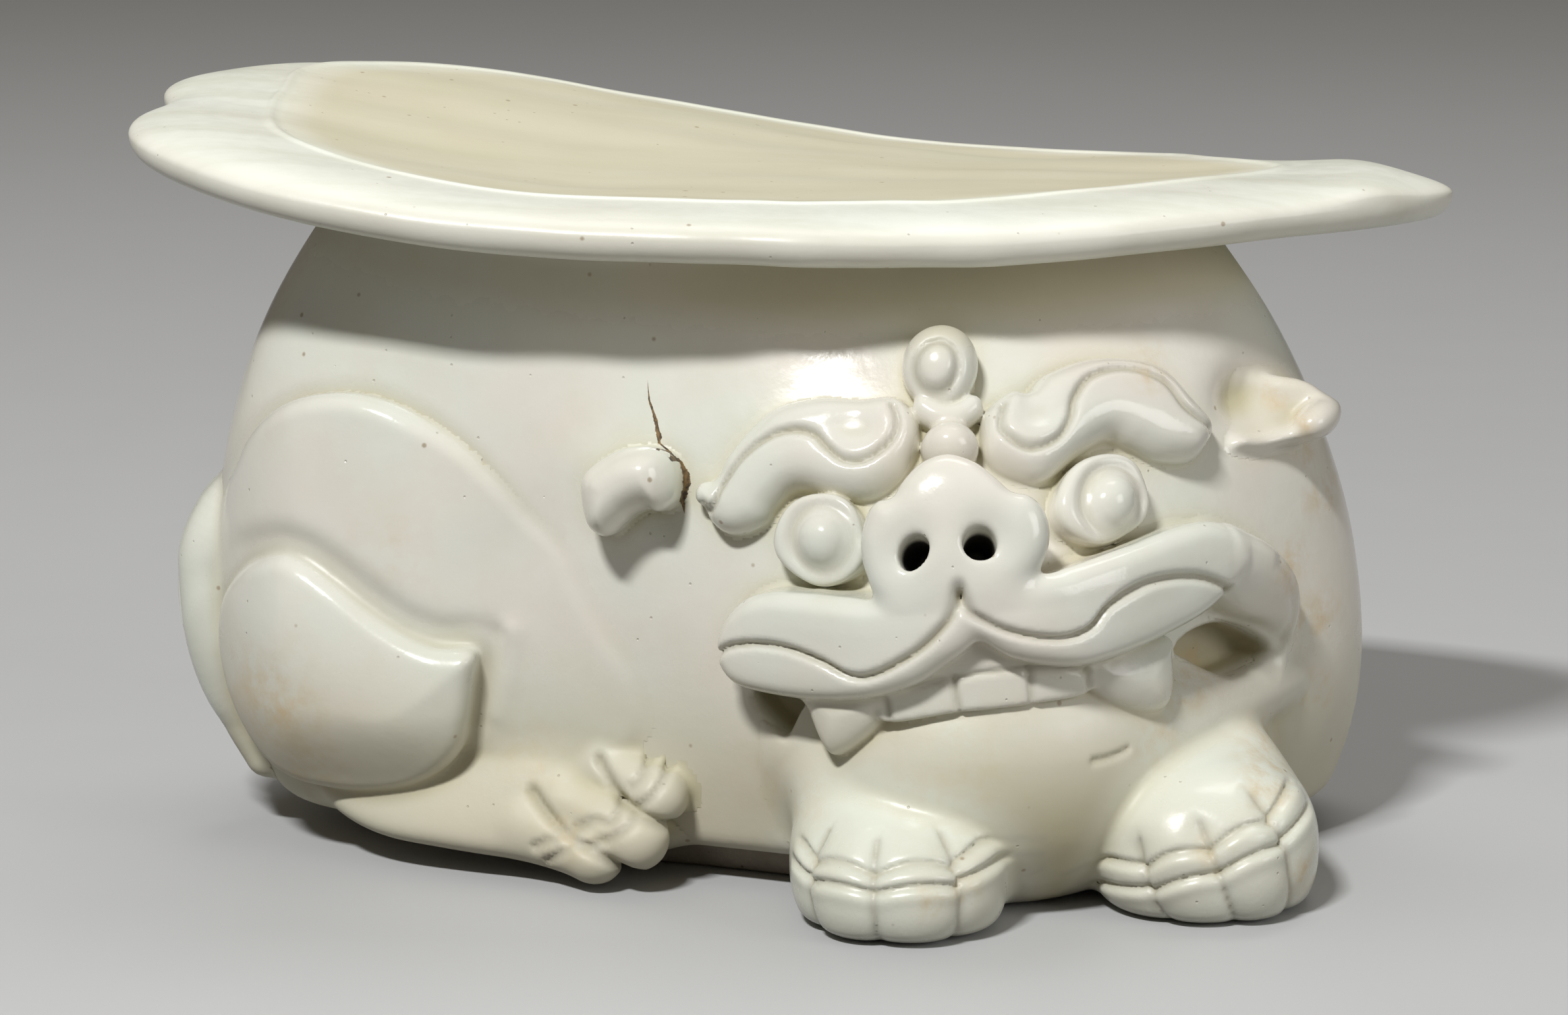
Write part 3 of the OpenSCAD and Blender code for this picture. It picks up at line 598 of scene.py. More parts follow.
def jaw(block):
    """The round chin and the jowl beside it, which hang over the paws."""
    patch = on_face(block, [(-8, 0), (98, 42)], margin=4, rise=16)
    height = patch.foot_z - 20
    height = np.where(height > 0, 0.78 * height, height)
    dome = egg(patch.foot_x - 43, height, patch.rise + 3, (40.5, 20.5, 13))
    jowl = lump(patch, 79, 33, -2, (16, 7, 6.4))
    block.join(patch, "lower_jaw", smooth_min(dome, jowl, 6), blend=2.2)
    slit = patch.distance([(48.7, 29.9), (51.8, 30), (55, 30.6)])
    block.score(patch, slit, depth=0.6, width=0.4, mark=0.7)
    block.open_mouth(block.skin)


def eye(block, side, x, z, radius, flat, ball):
    """A thick, lower than wide disc with a dished face, and a ball a little beside the middle of it."""
    patch = on_face(block, [(x - 9, z - 9), (x + 9, z + 9)], margin=2, rise=10)
    dx, dz = patch.foot_x - x, flat * (patch.foot_z - z)
    turn = np.arctan2(dz, dx)
    gap = np.hypot(dx, dz) + 0.2 * np.sin(3 * turn + 1) + 0.12 * np.sin(5 * turn)
    block.join(patch, side + "_eye_rim", slab(gap - radius, patch.rise, 5.4, edge=2.0), blend=0.7)
    aside = gap_from(patch, x + ball[0], z + ball[1])
    block.score(patch, aside - 5.2, depth=0.9, width=1.1, above=1, mark=0.35)
    block.join(patch, side + "_eyeball", np.hypot(aside, patch.rise - 3.6) - 4.1, blend=0.6)


LEFT_BROW = [(-13.6, 70), (-13.8, 72.4), (-12.2, 73.8), (-10.8, 75.4), (-9.2, 78.6), (-5.3, 83.2),
             (-0.5, 86.9), (6.6, 88.5), (13.6, 88.3), (18.3, 88.8), (21.5, 87.7), (23.5, 84.7),
             (23.7, 81), (21.1, 76.8), (17.5, 73.8), (13.9, 72.6), (9.3, 72.8), (4.5, 73.6), (1.7, 72.9),
             (-0.7, 70.5), (-2.5, 67.7), (-5.9, 65.6), (-9.2, 65.3), (-11.8, 67)]
LEFT_BROW_LINE = [(-12.8, 69.8), (-11.2, 69.2), (-9.9, 70.6), (-8.9, 73), (-5.4, 77.7), (-0.8, 80.9),
                  (3.5, 81.9), (6.8, 81.2), (9.1, 79.2), (12, 77.3), (15.6, 77.5), (19.2, 80.1),
                  (20.4, 83), (19.4, 86)]
RIGHT_BROW = [(34.9, 86.3), (39.2, 89.3), (42.3, 89.1), (45.5, 91.8), (53.4, 93.9), (61.3, 93.4),
              (66.7, 91.3), (71.5, 86.2), (75, 81.8), (74.4, 78.6), (71.1, 75.8), (65.3, 76.7),
              (59.7, 79.4), (55.8, 80.8), (51, 78.8), (44.8, 75.4), (39.5, 76.1), (35.1, 78.8),
              (34.1, 82.9)]
RIGHT_BROW_LINE = [(37.6, 86), (37.1, 81.8), (41.3, 78.9), (45.8, 80), (48.2, 82.9), (49.2, 86.2),
                   (52.5, 89.6), (58.7, 90.7), (64.9, 88.3), (68.5, 83.8), (73.3, 80.6)]


def brow(block, piece, outline, line, curl, tip=None):
    """A brow: a plump comma with a scored line, a hollow in its curl and perhaps a small knob at its tip."""
    patch, side = outlined(block, outline, margin=5, rise=10)
    hollow = bell(np.hypot((patch.foot_x - curl[0]) / 4.4, (patch.foot_z - curl[1]) / 2.6))
    field = slab(side, patch.rise, 4 + crown(side, 2.6, 5.5) - 1.2 * hollow, edge=3.2)
    if tip:
        field = smooth_min(field, lump(patch, *tip, 2.2, (2.2, 2.2, 2.6)), 0.8)
    block.join(patch, piece, field, blend=0.9)
    block.score(patch, patch.distance(line), depth=1.3, width=0.6, above=1)


def crest(block):
    """The knob, its collar and the bead on the bridge of the nose."""
    patch = on_face(block, [(18, 74), (40, 102)], margin=2, rise=14)
    block.join(patch, "bridge_bead", lump(patch, 28.8, 80.2, 2.5, (4.8, 3.6, 5.2)), blend=1.2)
    bend = patch.distance([(24.4, 86.4), (26.2, 85.3), (28.5, 84.9), (30.8, 85.3), (32.6, 86.4)])
    block.join(patch, "crest_collar", np.hypot(bend, 0.7 * (patch.rise - 2.4)) - 1.9, blend=1.0)
    block.join(patch, "crest_knob", lump(patch, 27.2, 92.8, 3, (6.5, 6.4, 6.2)), blend=0.8)
    block.score(patch, gap_from(patch, 26.4, 91) - 3.5, depth=0.9, width=0.7, above=4)


def left_ear(block):
    """A plump bean of clay."""
    outline = [(-34.5, 71.7), (-34, 74.5), (-31.6, 76.7), (-28, 78.7), (-25, 79.4), (-22, 79.4),
               (-19.5, 78.5), (-17.9, 76.6), (-17.3, 73.4), (-18, 70.2), (-20, 68.6), (-22, 69),
               (-24.7, 68), (-26.6, 66.4), (-29.1, 64.2), (-31.4, 64.5), (-33.4, 66.6)]
    patch, side = outlined(block, outline, margin=5, rise=16)
    block.join(patch, "left_ear", slab(side, patch.rise, 10 + crown(side, 2.6, 6), edge=4.4), blend=1.2)


EAR_DENT = (83.6, 85.8)   # middle of a hollow in the body beside the right ear: x, z


def ear_dent(place):
    """Depth of that hollow at the feet of a block or patch."""
    return 3.8 * bell(gap_from(place, *EAR_DENT) / 5.4)


def right_ear(block):
    """A scoop that opens to the left: a rim round a hollow floor, and a lobe at its tip."""
    outline = [(83, 90), (85, 90.2), (87, 89.4), (90.1, 87.3), (93.6, 84), (95.6, 80.4), (95.4, 77.4),
               (93, 75.6), (89.4, 75.8), (86, 75), (83, 75.6), (80, 77), (80.6, 80), (82.6, 83),
               (83, 86.4)]
    rim_line = [(84, 89.6), (86.2, 89), (89, 87.2), (91.8, 84.8), (94, 81.6), (94, 78), (91, 77.2),
                (87.4, 77.2), (84, 77.2), (80.8, 78)]
    patch, side = outlined(block, outline, margin=7, rise=16)
    dent = ear_dent(patch)
    low_side = ease((82 - patch.foot_z) / 4)
    right_side = ease((patch.foot_x - 85) / 9)
    rim = mix(mix(-dent, 2.2, low_side), 6.4, right_side)
    hollow = mix(-dent - 0.6, 2.4, right_side)
    top = mix(hollow, rim, bell(patch.distance(rim_line) / 2.2))
    scoop = slab(side, patch.rise, top, edge=2.4, sink=7)
    lobe = lump(patch, 93, 78.8, 5.4, (3.6, 3.2, 3.8))
    block.join(patch, "right_ear", smooth_min(scoop, lobe, 2.2), blend=1.8)


def cheek(block):
    """The flesh that runs from the lip round the open corner of the mouth, with a fold in it."""
    outline = [(73, 64.6), (79.6, 62.4), (85, 58.6), (89.4, 53.4), (91.8, 47.4), (92, 41.4), (90.6, 35.6),
               (87.4, 31.6), (85, 33.6), (87, 37.4), (87.8, 41.4), (84.6, 45.2), (79.4, 48), (74.6, 51.4),
               (71, 56)]
    patch, side = outlined(block, outline, margin=6, rise=12)
    top = mix(0.4, 9, ease((patch.foot_z - 33) / 31)) + crown(side, 1.5, 6)
    block.join(patch, "right_cheek", slab(side, patch.rise, top, edge=3), blend=2.6)
    fold = patch.distance([(83.4, 57.4), (86.8, 52.8), (88.8, 47.4), (89, 42)])
    block.score(patch, fold, depth=0.6, width=1.1, above=0, mark=0.3)


# Skins

def surface_net(field):
    """A quad mesh of the field's zero, in grid units."""
    inside = field < 0
    count = np.zeros([n - 1 for n in field.shape], np.uint8)
    corners = [(i, j, k) for i in (0, 1) for j in (0, 1) for k in (0, 1)]
    for i, j, k in corners:
        nx, ny, nz = count.shape
        count += inside[i:i + nx, j:j + ny, k:k + nz]
    active = (count > 0) & (count < 8)
    cells = np.argwhere(active).astype(np.int32)
    index = np.full(active.shape, -1, np.int32)
    index[active] = np.arange(len(cells))
    values = [field[tuple((cells + corner).T)] for corner in corners]
    total = np.zeros((len(cells), 3), np.float32)
    hits = np.zeros(len(cells), np.float32)
    for a, ca in enumerate(corners):
        for b, cb in enumerate(corners):
            if b > a and sum(abs(p - q) for p, q in zip(ca, cb)) == 1:
                va, vb = values[a], values[b]
                crossing = (va < 0) != (vb < 0)
                t = np.where(crossing, va / np.where(crossing, va - vb, 1), 0)[:, None]
                point = np.array(ca) + t * (np.array(cb) - np.array(ca))
                total += np.where(crossing[:, None], point, 0)
                hits += crossing
    points = cells + total / hits[:, None]
    quads = []
    for axis in range(3):
        one, two = (axis + 1) % 3, (axis + 2) % 3
        turns = inside != np.roll(inside, -1, axis=axis)
        keep = [slice(1, n - 1) for n in field.shape]
        keep[axis] = slice(0, field.shape[axis] - 1)
        edges = np.argwhere(turns[tuple(keep)]) + [s.start for s in keep]
        steps = np.eye(3, dtype=int)
        around = [edges, edges - steps[one], edges - steps[one] - steps[two], edges - steps[two]]
        ring = np.stack([index[tuple(c.T)] for c in around], axis=1)
        outward = inside[tuple(edges.T)]
        quads.append(np.where(outward[:, None], ring, ring[:, ::-1]))
    return points.astype(np.float32), np.concatenate(quads)


def skin_mesh(block, field):
    """Points in millimetres, drawn on to the zero of the field, with quads and normals."""
    points, quads = surface_net(field)
    points = points * block.step + block.low
    for _ in range(3):
        way = block.slope(field, points)
        gap = np.clip(block.read(field, points), -0.3 * block.step, 0.3 * block.step)
        points = points - 0.8 * gap[:, None] * way
    return points, quads, block.slope(field, points)


def raised_pieces(block):
    """Each added piece as a closed mesh: its skin, and an underside a little below the body's skin."""
    points, quads, normals = skin_mesh(block, block.skin)
    points[:, 2] = np.maximum(points[:, 2], 0)
    lift = block.read(block.body, points)
    down = block.slope(block.body, points)
    cell = np.rint((points[quads].mean(axis=1) - block.low) / block.step).astype(int)
    owner = block.owner[tuple(cell.T)]
    raised = (lift > RAISED)[quads].all(axis=1)
    under = points - down * (lift + ROOT)[:, None]
    under[:, 2] = np.maximum(under[:, 2], 0)
    for number, piece in enumerate(block.pieces):
        faces = quads[raised & (owner == number)]
        used, local = np.unique(faces, return_inverse=True)
        faces = local.reshape(faces.shape)
        n = len(used)
        edges = np.stack([faces, np.roll(faces, -1, axis=1)], axis=2).reshape(-1, 2)
        key = edges[:, 0].astype(np.int64) * n + edges[:, 1]
        twin = edges[:, 1].astype(np.int64) * n + edges[:, 0]
        rim = edges[~np.isin(key, twin)]
        wall = np.stack([rim[:, 1], rim[:, 0], rim[:, 0] + n, rim[:, 1] + n], axis=1)
        skin = np.concatenate([points[used], under[used]])
        facing = np.concatenate([normals[used], -down[used]])
        yield piece, skin, np.concatenate([faces, faces[:, ::-1] + n, wall]), facing


# Meshes

def new_piece(name, points, quads, normals, looks, material, node):
    """A mesh object in metres that stands for a CAD node. looks are named values of each point."""
    mesh = bpy.data.meshes.new(name)
    mesh.vertices.add(len(points))
    mesh.vertices.foreach_set("co", (points * 0.001).astype(np.float32).ravel())
    mesh.loops.add(quads.size)
    mesh.loops.foreach_set("vertex_index", quads.astype(np.int32).ravel())
    mesh.polygons.add(len(quads))
    mesh.polygons.foreach_set("loop_start", np.arange(0, quads.size, 4, dtype=np.int32))
    mesh.update(calc_edges=True)
    mesh.shade_smooth()
    if normals is not None:
        mesh.normals_split_custom_set_from_vertices(normals)
    for look, values in looks.items():
        layer = mesh.attributes.new(look, "FLOAT", "POINT")
        layer.data.foreach_set("value", values.astype(np.float32))
    mesh.materials.append(material)
    piece = bpy.data.objects.new(name, mesh)
    bpy.context.scene.collection.objects.link(piece)
    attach(piece, "root")
    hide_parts(node)


# Ochre stains on the front: x, z, radius, amount
STAINS = [(-93, 30, 9, 0.8), (-86, 18, 7, 0.6), (-70, 60, 8, 0.25), (72, 38, 5, 0.8), (66, 31, 5, 0.5),
          (92, 55, 4, 0.8), (97, 44, 5, 0.8), (97, 30, 4, 0.7), (99, 66, 4, 0.8), (96, 73, 3, 0.6),
          (89, 85, 3, 0.9), (94, 81, 2, 0.8), (85, 24, 5, 0.8), (25, 9, 3, 0.7), (31, 9, 3, 0.6),
          (74, 14, 3, 0.7), (92, 8, 4, 1.0), (65, 93, 3, 0.7), (-45, 22, 6, 0.4), (-38, 11, 5, 0.5),
          (30, 28, 12, 0.25), (0, 20, 8, 0.3)]
# The crack beside the left ear, from low to high: x, z, width
CRACK = [(-17.6, 68.2, 0), (-17.9, 70.6, 1.1), (-17.2, 73.2, 1.5), (-17.2, 75.1, 1.3), (-18.2, 77.3, 0.5),
         (-20.1, 78.9, 0.4), (-22.1, 80.2, 0.6), (-22.1, 81.4, 0.9), (-22.8, 84.4, 0.7), (-23.9, 87.6, 0.35),
         (-24.2, 91.1, 0)]
# Where the glaze is paler and greener, a green tint with painted light, and has no painted shade towards the
# bottom: about the forepaws and the tail, each by its middle and its radii
PALE_AND_LIT = [(LEFT_PAW, (24, 28, 22)), (RIGHT_PAW, (25, 27, 25)), ((-112, -2, 42), (10, 16, 40))]
# Where the painted shade towards the bottom is stronger: under the chin, by its middle and its radii
SHADED_CHIN = ((43, -72, 14), (38, 18, 24))


def nearness(points, centre, radii):
    """1 well inside an ellipsoid, falling to 0 a little outside it."""
    gap = np.linalg.norm((points - np.array(centre)) / np.array(radii), axis=1)
    return ease((1.25 - gap) / 0.6)


def carved_looks(block, points):
    """How the glaze looks on a block's skin: darker in hollows and recesses, as pooled glaze and painted
    shade; thin on edges; darker along scored lines and creases, as painted shade with pooled glaze; painted
    black in the nostrils, as their shade.
    """
    fine = block.hollow(points, 1.3)
    broad = block.hollow(points, 4.0)
    foot_x, foot_z, rise = (block.read(field, points) for field in (block.foot_x, block.foot_z, block.rise))
    # pooled glaze and painted shade: darker in tight and broad hollows and in recesses below the body's skin
    pool_and_shade = np.clip(1.6 * fine, 0, 1) + np.clip(2.2 * broad, 0, 1) + 1.3 * ease((-rise - 1.5) / 4)
    # painted shade in the hollow beside the right ear
    pool_and_shade = pool_and_shade + 0.5 * bell(np.hypot(foot_x - EAR_DENT[0] - 3, foot_z - EAR_DENT[1] + 2) / 6)
    # painted shade: the nostrils' holes are painted black
    hole = np.zeros(len(points))
    for x, z in NOSTRILS:
        near = np.hypot(foot_x - x, foot_z - z) < NOSTRIL_R + 0.3
        hole = np.maximum(hole, near * ease((10 - rise) / 1.5))
    edge = np.clip(-2.0 * fine - 0.25, 0, 1)
    return {"pool_and_shade": pool_and_shade, "edge": edge, "line": block.read(block.mark, points), "hole": hole}


def looks_of(points, blocks):
    """How the glaze looks at points: as carved, and by their place darker with pooled glaze and painted shade
    at the neck, darker with painted shade towards the bottom and under the chin, paler and greener with
    painted light, or stained.
    """
    looks = {name: np.zeros(len(points)) for name in ("pool_and_shade", "edge", "line", "hole", "stain")}
    for block in blocks:
        held = block.holds(points)
        if held.any():
            for name, values in carved_looks(block, points[held]).items():
                looks[name][held] = values
    x, y, z = points.T
    # darker at the neck under the headrest, more to the right: pooled glaze and painted shade
    neck = np.maximum(0, LEAF_Z + leaf_lift(x, y) - z - 8)
    pale = np.max([nearness(points, *place) for place in PALE_AND_LIT], axis=0)
    # painted shade: darker and yellower towards the bottom, more under the chin, none on the forepaws and the
    # tail
    low_shade = (1 - pale) * (1 + 0.6 * nearness(points, *SHADED_CHIN))
    pool_and_shade = looks["pool_and_shade"] + mix(0.6, 1.3, ease((x + 45) / 50)) * bell(neck / 5)
    looks["pool_and_shade"] = np.clip(pool_and_shade + 0.95 * low_shade * ease((54 - z) / 42), 0, 1.5)
    for sx, sz, radius, amount in STAINS:
        near = bell(np.hypot(x - sx, z - sz) / radius) * (y < 0)
        looks["stain"] = np.maximum(looks["stain"], amount * near)
    looks["pale"] = pale
    return looks


# Materials

WARM = (0.755, 0.72, 0.645)
COOL = (0.725, 0.74, 0.665)
CREAM = (0.68, 0.645, 0.54)
LIT_PALE_GREEN = (0.775, 0.815, 0.72)
BRUSHED = (0.60, 0.59, 0.48)
POOL_AND_SHADE = (0.50, 0.46, 0.30)
THIN = (0.76, 0.70, 0.61)
SCORED_SHADE = (0.40, 0.385, 0.32)
OCHRE = (0.60, 0.43, 0.20)
IRON = (0.30, 0.21, 0.12)
PIT = (0.38, 0.33, 0.25)
EARTH = (0.24, 0.15, 0.06)
DARK_EARTH = (0.03, 0.018, 0.01)
BLACK = (0.012, 0.01, 0.008)
CLAY = (0.36, 0.31, 0.25)
DARK_CLAY = (0.27, 0.23, 0.18)
GRIT = (0.20, 0.13, 0.08)


class Nodes:
    """Short hand for building a node tree."""

    def __init__(self, material):
        material.use_nodes = True
        self.tree = material.node_tree
        self.tree.nodes.clear()
        self.where = self.add("TexCoord").outputs["Object"]

    def add(self, kind, **values):
        node = self.tree.nodes.new("ShaderNode" + kind)
        for name, value in values.items():
            setattr(node, name, value)
        return node

    def link(self, source, socket):
        if isinstance(source, bpy.types.NodeSocket):
            self.tree.links.new(source, socket)
        else:
            socket.default_value = source

    def feed(self, node, **inputs):
        """Links or sets a node's inputs by name, with _ for a space."""
        for name, value in inputs.items():
            self.link(value, node.inputs[name.replace("_", " ")])
        return node

    def noise(self, scale, detail=3.0, rough=0.5, stretch=None):
        where = self.where
        if stretch:
            where = self.feed(self.add("Mapping"), Vector=where, Scale=stretch).outputs["Vector"]
        node = self.add("TexNoise")
        self.feed(node, Vector=where, Scale=scale, Detail=detail, Roughness=rough)
        return node.outputs["Fac"]

    def specks(self, scale, size, dense):
        """Small round spots: 1 in the middle of each, in some of the cells."""
        node = self.feed(self.add("TexVoronoi"), Vector=self.where, Scale=scale)
        chosen = self.feed(self.add("SeparateColor"), Color=node.outputs["Color"])
        picked = self.math("LESS_THAN", chosen.outputs["Red"], dense)
        spot = self.span(node.outputs["Distance"], size, size * 0.5)
        return self.math("MULTIPLY", spot, picked)

    def course(self, height, places):
        """A value that follows places (height, value), both 0 to 1, from low to high."""
        node = self.add("FloatCurve")
        points = node.mapping.curves[0].points
        for place in places[1:-1]:
            points.new(*place)
        points[0].location = places[0]
        points[len(places) - 1].location = places[-1]
        for point in points:
            point.handle_type = "VECTOR"
        node.mapping.update()
        return self.feed(node, Value=height).outputs[0]

    def split(self, line):
        """A crack in the front along points (x, z, width) from low to high, in millimetres."""
        place = self.feed(self.add("SeparateXYZ"), Vector=self.where)
        line = np.array(line)
        (x0, z0, _), (x1, z1, widest) = line.min(axis=0), line.max(axis=0)
        x, z, width = ((line - (x0, z0, 0)) / (x1 - x0, z1 - z0, widest)).T
        height = self.span(place.outputs["Z"], z0 / 1000, z1 / 1000)
        middle = self.span(self.course(height, list(zip(z, x))), 0, 1, x0 / 1000, x1 / 1000)
        gap = self.math("ABSOLUTE", self.math("SUBTRACT", place.outputs["X"], middle))
        half = self.span(self.course(height, list(zip(z, width))), 0, 1, 0, widest / 2000)
        ragged = self.span(self.noise(1100, 4.0, 0.7), 0.3, 0.7, 0.5, 1.3)
        inside = self.math("LESS_THAN", gap, self.math("MULTIPLY", half, ragged))
        skin = front_y(line[:, 0], line[:, 1])
        behind = self.math("LESS_THAN", place.outputs["Y"], 0.0)
        before = self.math("GREATER_THAN", place.outputs["Y"], (skin.min() - 4) / 1000)
        return self.math("MULTIPLY", inside, self.math("MULTIPLY", behind, before))

    def look(self, name):
        return self.add("Attribute", attribute_name=name).outputs["Fac"]

    def math(self, operation, a, b=0.0):
        node = self.add("Math", operation=operation)
        self.link(a, node.inputs[0])
        self.link(b, node.inputs[1])
        return node.outputs[0]

    def most(self, value, *others):
        """The greatest of several values."""
        for other in others:
            value = self.math("MAXIMUM", value, other)
        return value

    def span(self, value, low, high, to_low=0.0, to_high=1.0):
        """A value carried from one range to another, and held at its ends."""
        node = self.feed(self.add("MapRange"), Value=value, From_Min=low, From_Max=high)
        return self.feed(node, To_Min=to_low, To_Max=to_high).outputs["Result"]

    def tint(self, share, a, b):
        node = self.add("Mix", data_type="RGBA")
        self.link(share, node.inputs[0])
        self.link(a if isinstance(a, bpy.types.NodeSocket) else (*a, 1), node.inputs[6])
        self.link(b if isinstance(b, bpy.types.NodeSocket) else (*b, 1), node.inputs[7])
        return node.outputs[2]

    def over(self, color, share, amount, tint):
        """A colour with a tint laid over some share of it, up to an amount."""
        return self.tint(self.math("MULTIPLY", share, amount), color, tint)

    def bump(self, height, strength, distance, normal=None):
        node = self.feed(self.add("Bump"), Height=height, Strength=strength, Distance=distance)
        if normal is not None:
            self.feed(node, Normal=normal)
        return node.outputs["Normal"]

    def finish(self, color, roughness, normal, **constants):
        shader = self.add("BsdfPrincipled")
        self.feed(shader, Base_Color=color, Roughness=roughness, Normal=normal, **constants)
        self.feed(self.add("OutputMaterial"), Surface=shader.outputs["BSDF"])


def glaze(name, rough, tone, streaks=False):
    """Ivory-white glaze: greener and darker where it pools and where shade is painted, paler and greener
    where light is painted, warmer where thin, black where the nostrils' shade is painted, with iron specks
    and ochre stains.
    """
    material = bpy.data.materials.new(name)
    n = Nodes(material)
    # tone scales the glaze's colours; the headrest's brighter copy is painted light
    warm, cool = (tuple(np.array(color) * tone) for color in (WARM, COOL))
    color = n.tint(n.span(n.noise(26, 2.0), 0.38, 0.62), warm, cool)
    color = n.tint(n.span(n.noise(70, 4.0, 0.6), 0.45, 0.8, 0, 0.5), color, CREAM)
    # paler and greener on the forepaws, the tail and the headrest's border: a green tint and painted light
    color = n.over(color, n.look("pale"), 0.7, LIT_PALE_GREEN)
    if streaks:
        brush = n.noise(60, 4.0, 0.6, stretch=(0.16, 1.6, 1.0))
        color = n.tint(n.span(brush, 0.42, 0.72, 0, 0.6), color, BRUSHED)
    # pooled glaze and painted shade: darker and yellower in hollows, at the neck, towards the bottom, under
    # the chin and on the headrest's dish
    color = n.over(color, n.look("pool_and_shade"), 0.62, POOL_AND_SHADE)
    color = n.over(color, n.look("edge"), 0.35, THIN)
    # darker along scored lines, creases and toe cuts: painted shade with pooled glaze
    color = n.over(color, n.look("line"), 0.6, SCORED_SHADE)
    cloud = n.span(n.noise(240, 5.0, 0.65), 0.4, 0.66)
    color = n.over(color, n.math("MULTIPLY", n.look("stain"), cloud), 0.75, OCHRE)
    color = n.over(color, n.specks(170, 0.10, 0.22), 0.7, IRON)
    pits = n.specks(420, 0.12, 0.10)
    color = n.over(color, pits, 0.45, PIT)
    crack = n.split(CRACK)
    earth = n.tint(n.span(n.noise(700, 3.0, 0.6), 0.4, 0.62), DARK_EARTH, EARTH)
    color = n.tint(crack, color, earth)
    # painted shade: black in the nostrils
    color = n.tint(n.look("hole"), color, BLACK)
    roughness = n.span(n.noise(320, 3.0), 0.3, 0.7, rough, rough + 0.1)
    dull = n.most(crack, n.look("hole"), n.look("pool_and_shade"), n.look("line"))
    roughness = n.math("ADD", roughness, n.math("MULTIPLY", dull, 0.4))
    normal = n.bump(n.noise(150, 2.0), 0.06, 0.0016)
    normal = n.bump(n.noise(1300, 2.0), 0.05, 0.0004, normal)
    sunk = n.math("MULTIPLY", n.math("ADD", pits, crack), -1.0)
    normal = n.bump(sunk, 0.4, 0.0008, normal)
    n.finish(color, roughness, normal, IOR=1.5)
    return material


def bare_clay():
    material = bpy.data.materials.new("bare_clay")
    n = Nodes(material)
    color = n.tint(n.span(n.noise(120, 5.0, 0.6), 0.35, 0.7), CLAY, DARK_CLAY)
    color = n.tint(n.specks(500, 0.2, 0.3), color, GRIT)
    roughness = n.span(n.noise(300), 0.3, 0.7, 0.75, 0.92)
    normal = n.bump(n.noise(700, 5.0, 0.7), 0.5, 0.0007)
    n.finish(color, roughness, normal)
    return material


# Headrest and base

def leaf_edge(a, notch):
    """The leaf's reach from its middle: pointed to the right, blunt and notched to the left."""
    c, s = np.cos(a), np.sin(a)
    p = np.where(c > 0, 1.55, 2.54)
    r = ((np.abs(c) / LEAF_HALF_LEN) ** p + (np.abs(s) / LEAF_HALF_DEPTH) ** p) ** (-1 / p)
    uneven = 0.5 * np.sin(7 * a + 0.6) + 0.35 * np.sin(13 * a + 2) + 0.2 * np.sin(23 * a)
    return r - notch * bell((np.degrees(a) - 176) / 4.7) - 0.6 + uneven


def leaf_rings(line, edge):
    """Reach and height of the leaf's rings: over the dish and the border, and back underneath."""
    inner = np.concatenate([np.linspace(0, 0.9, 20)[1:], np.linspace(0.92, 1, 12)])
    dish = LEAF_THICK - LEAF_DISH * ease((1 - inner) / 0.25) + LEAF_BEAD * bell((inner - 1) / 0.009)
    outer = np.concatenate([np.linspace(0.02, 0.1, 5), np.sin(np.linspace(0.14, 0.5, 14) * math.pi)])
    border = mix(LEAF_EDGE_Z, LEAF_THICK, np.sqrt(1 - outer ** 2.2)) + LEAF_BEAD * bell(outer / 0.035)
    under = np.radians(np.linspace(12, 84, 7))
    flat = (0.92, 0.75, 0.5, 0.25)
    reach = [line * f for f in inner] + [mix(line, edge, t) for t in outer]
    reach += [edge - LEAF_EDGE_Z * (1 - np.cos(b)) for b in under] + [edge * f for f in flat]
    height = np.concatenate([dish, border, LEAF_EDGE_Z * (1 - np.sin(under)), np.zeros(len(flat))])
    return np.array(reach), height[:, None]


def headrest(material):
    """The leaf: a broad rounded border, a fine raised line along its inner side, and a shallow dish."""
    a = np.linspace(0, 2 * math.pi, 360, endpoint=False)
    a = a - math.radians(24) * np.sin(2 * a) / 2
    edge = leaf_edge(a, LEAF_NOTCH)
    back = 0.2 * ease((np.sin(a) - 0.1) / 0.5)
    line = leaf_edge(a, 0) * (LEAF_LINE + back + 0.05 * bell((np.degrees(a) - 180) / 30))
    reach, height = leaf_rings(line, edge)
    x = LEAF_X + reach * np.cos(a)
    y = LEAF_Y + reach * np.sin(a)
    above = height > LEAF_EDGE_Z
    inside = above * (1 - ease((reach / line - 0.9) / 0.1))
    worked = 0.3 * np.sin(x / 9 + y / 15) * np.sin(y / 6 - x / 31) + 0.1 * np.sin(y / 2.6 + x / 40)
    tip = 1.4 * bell((x - 108) / 9) - 9 * back * ease((reach / edge - 0.5) / 0.45)
    z = LEAF_Z + leaf_lift(x, y) + height + (tip + worked * mix(0.35, 1, inside)) * above
    low = LEAF_Z + float(leaf_lift(LEAF_X, LEAF_Y))
    middles = [(LEAF_X, LEAF_Y, low + height[0, 0]), (LEAF_X, LEAF_Y, low)]
    points, quads = ring_mesh(np.stack([x, y, z], axis=2), middles)
    # painted shade on the dish, with pooled glaze by the raised line; painted light on the border, paler and
    # greener
    looks = {"pool_and_shade": 0.3 * bell((reach / line - 0.975) / 0.03) * above + 1.15 * inside,
             "pale": 0.8 * (1 - inside) * (height > 0),
             "edge": 0.8 * bell((reach - edge) / 2.0) * (height > 0)}
    looks = {name: np.append(values, (values[0, 0], 0)) for name, values in looks.items()}
    new_piece("pillow_headrest", points, quads, None, looks, material, "headrest")


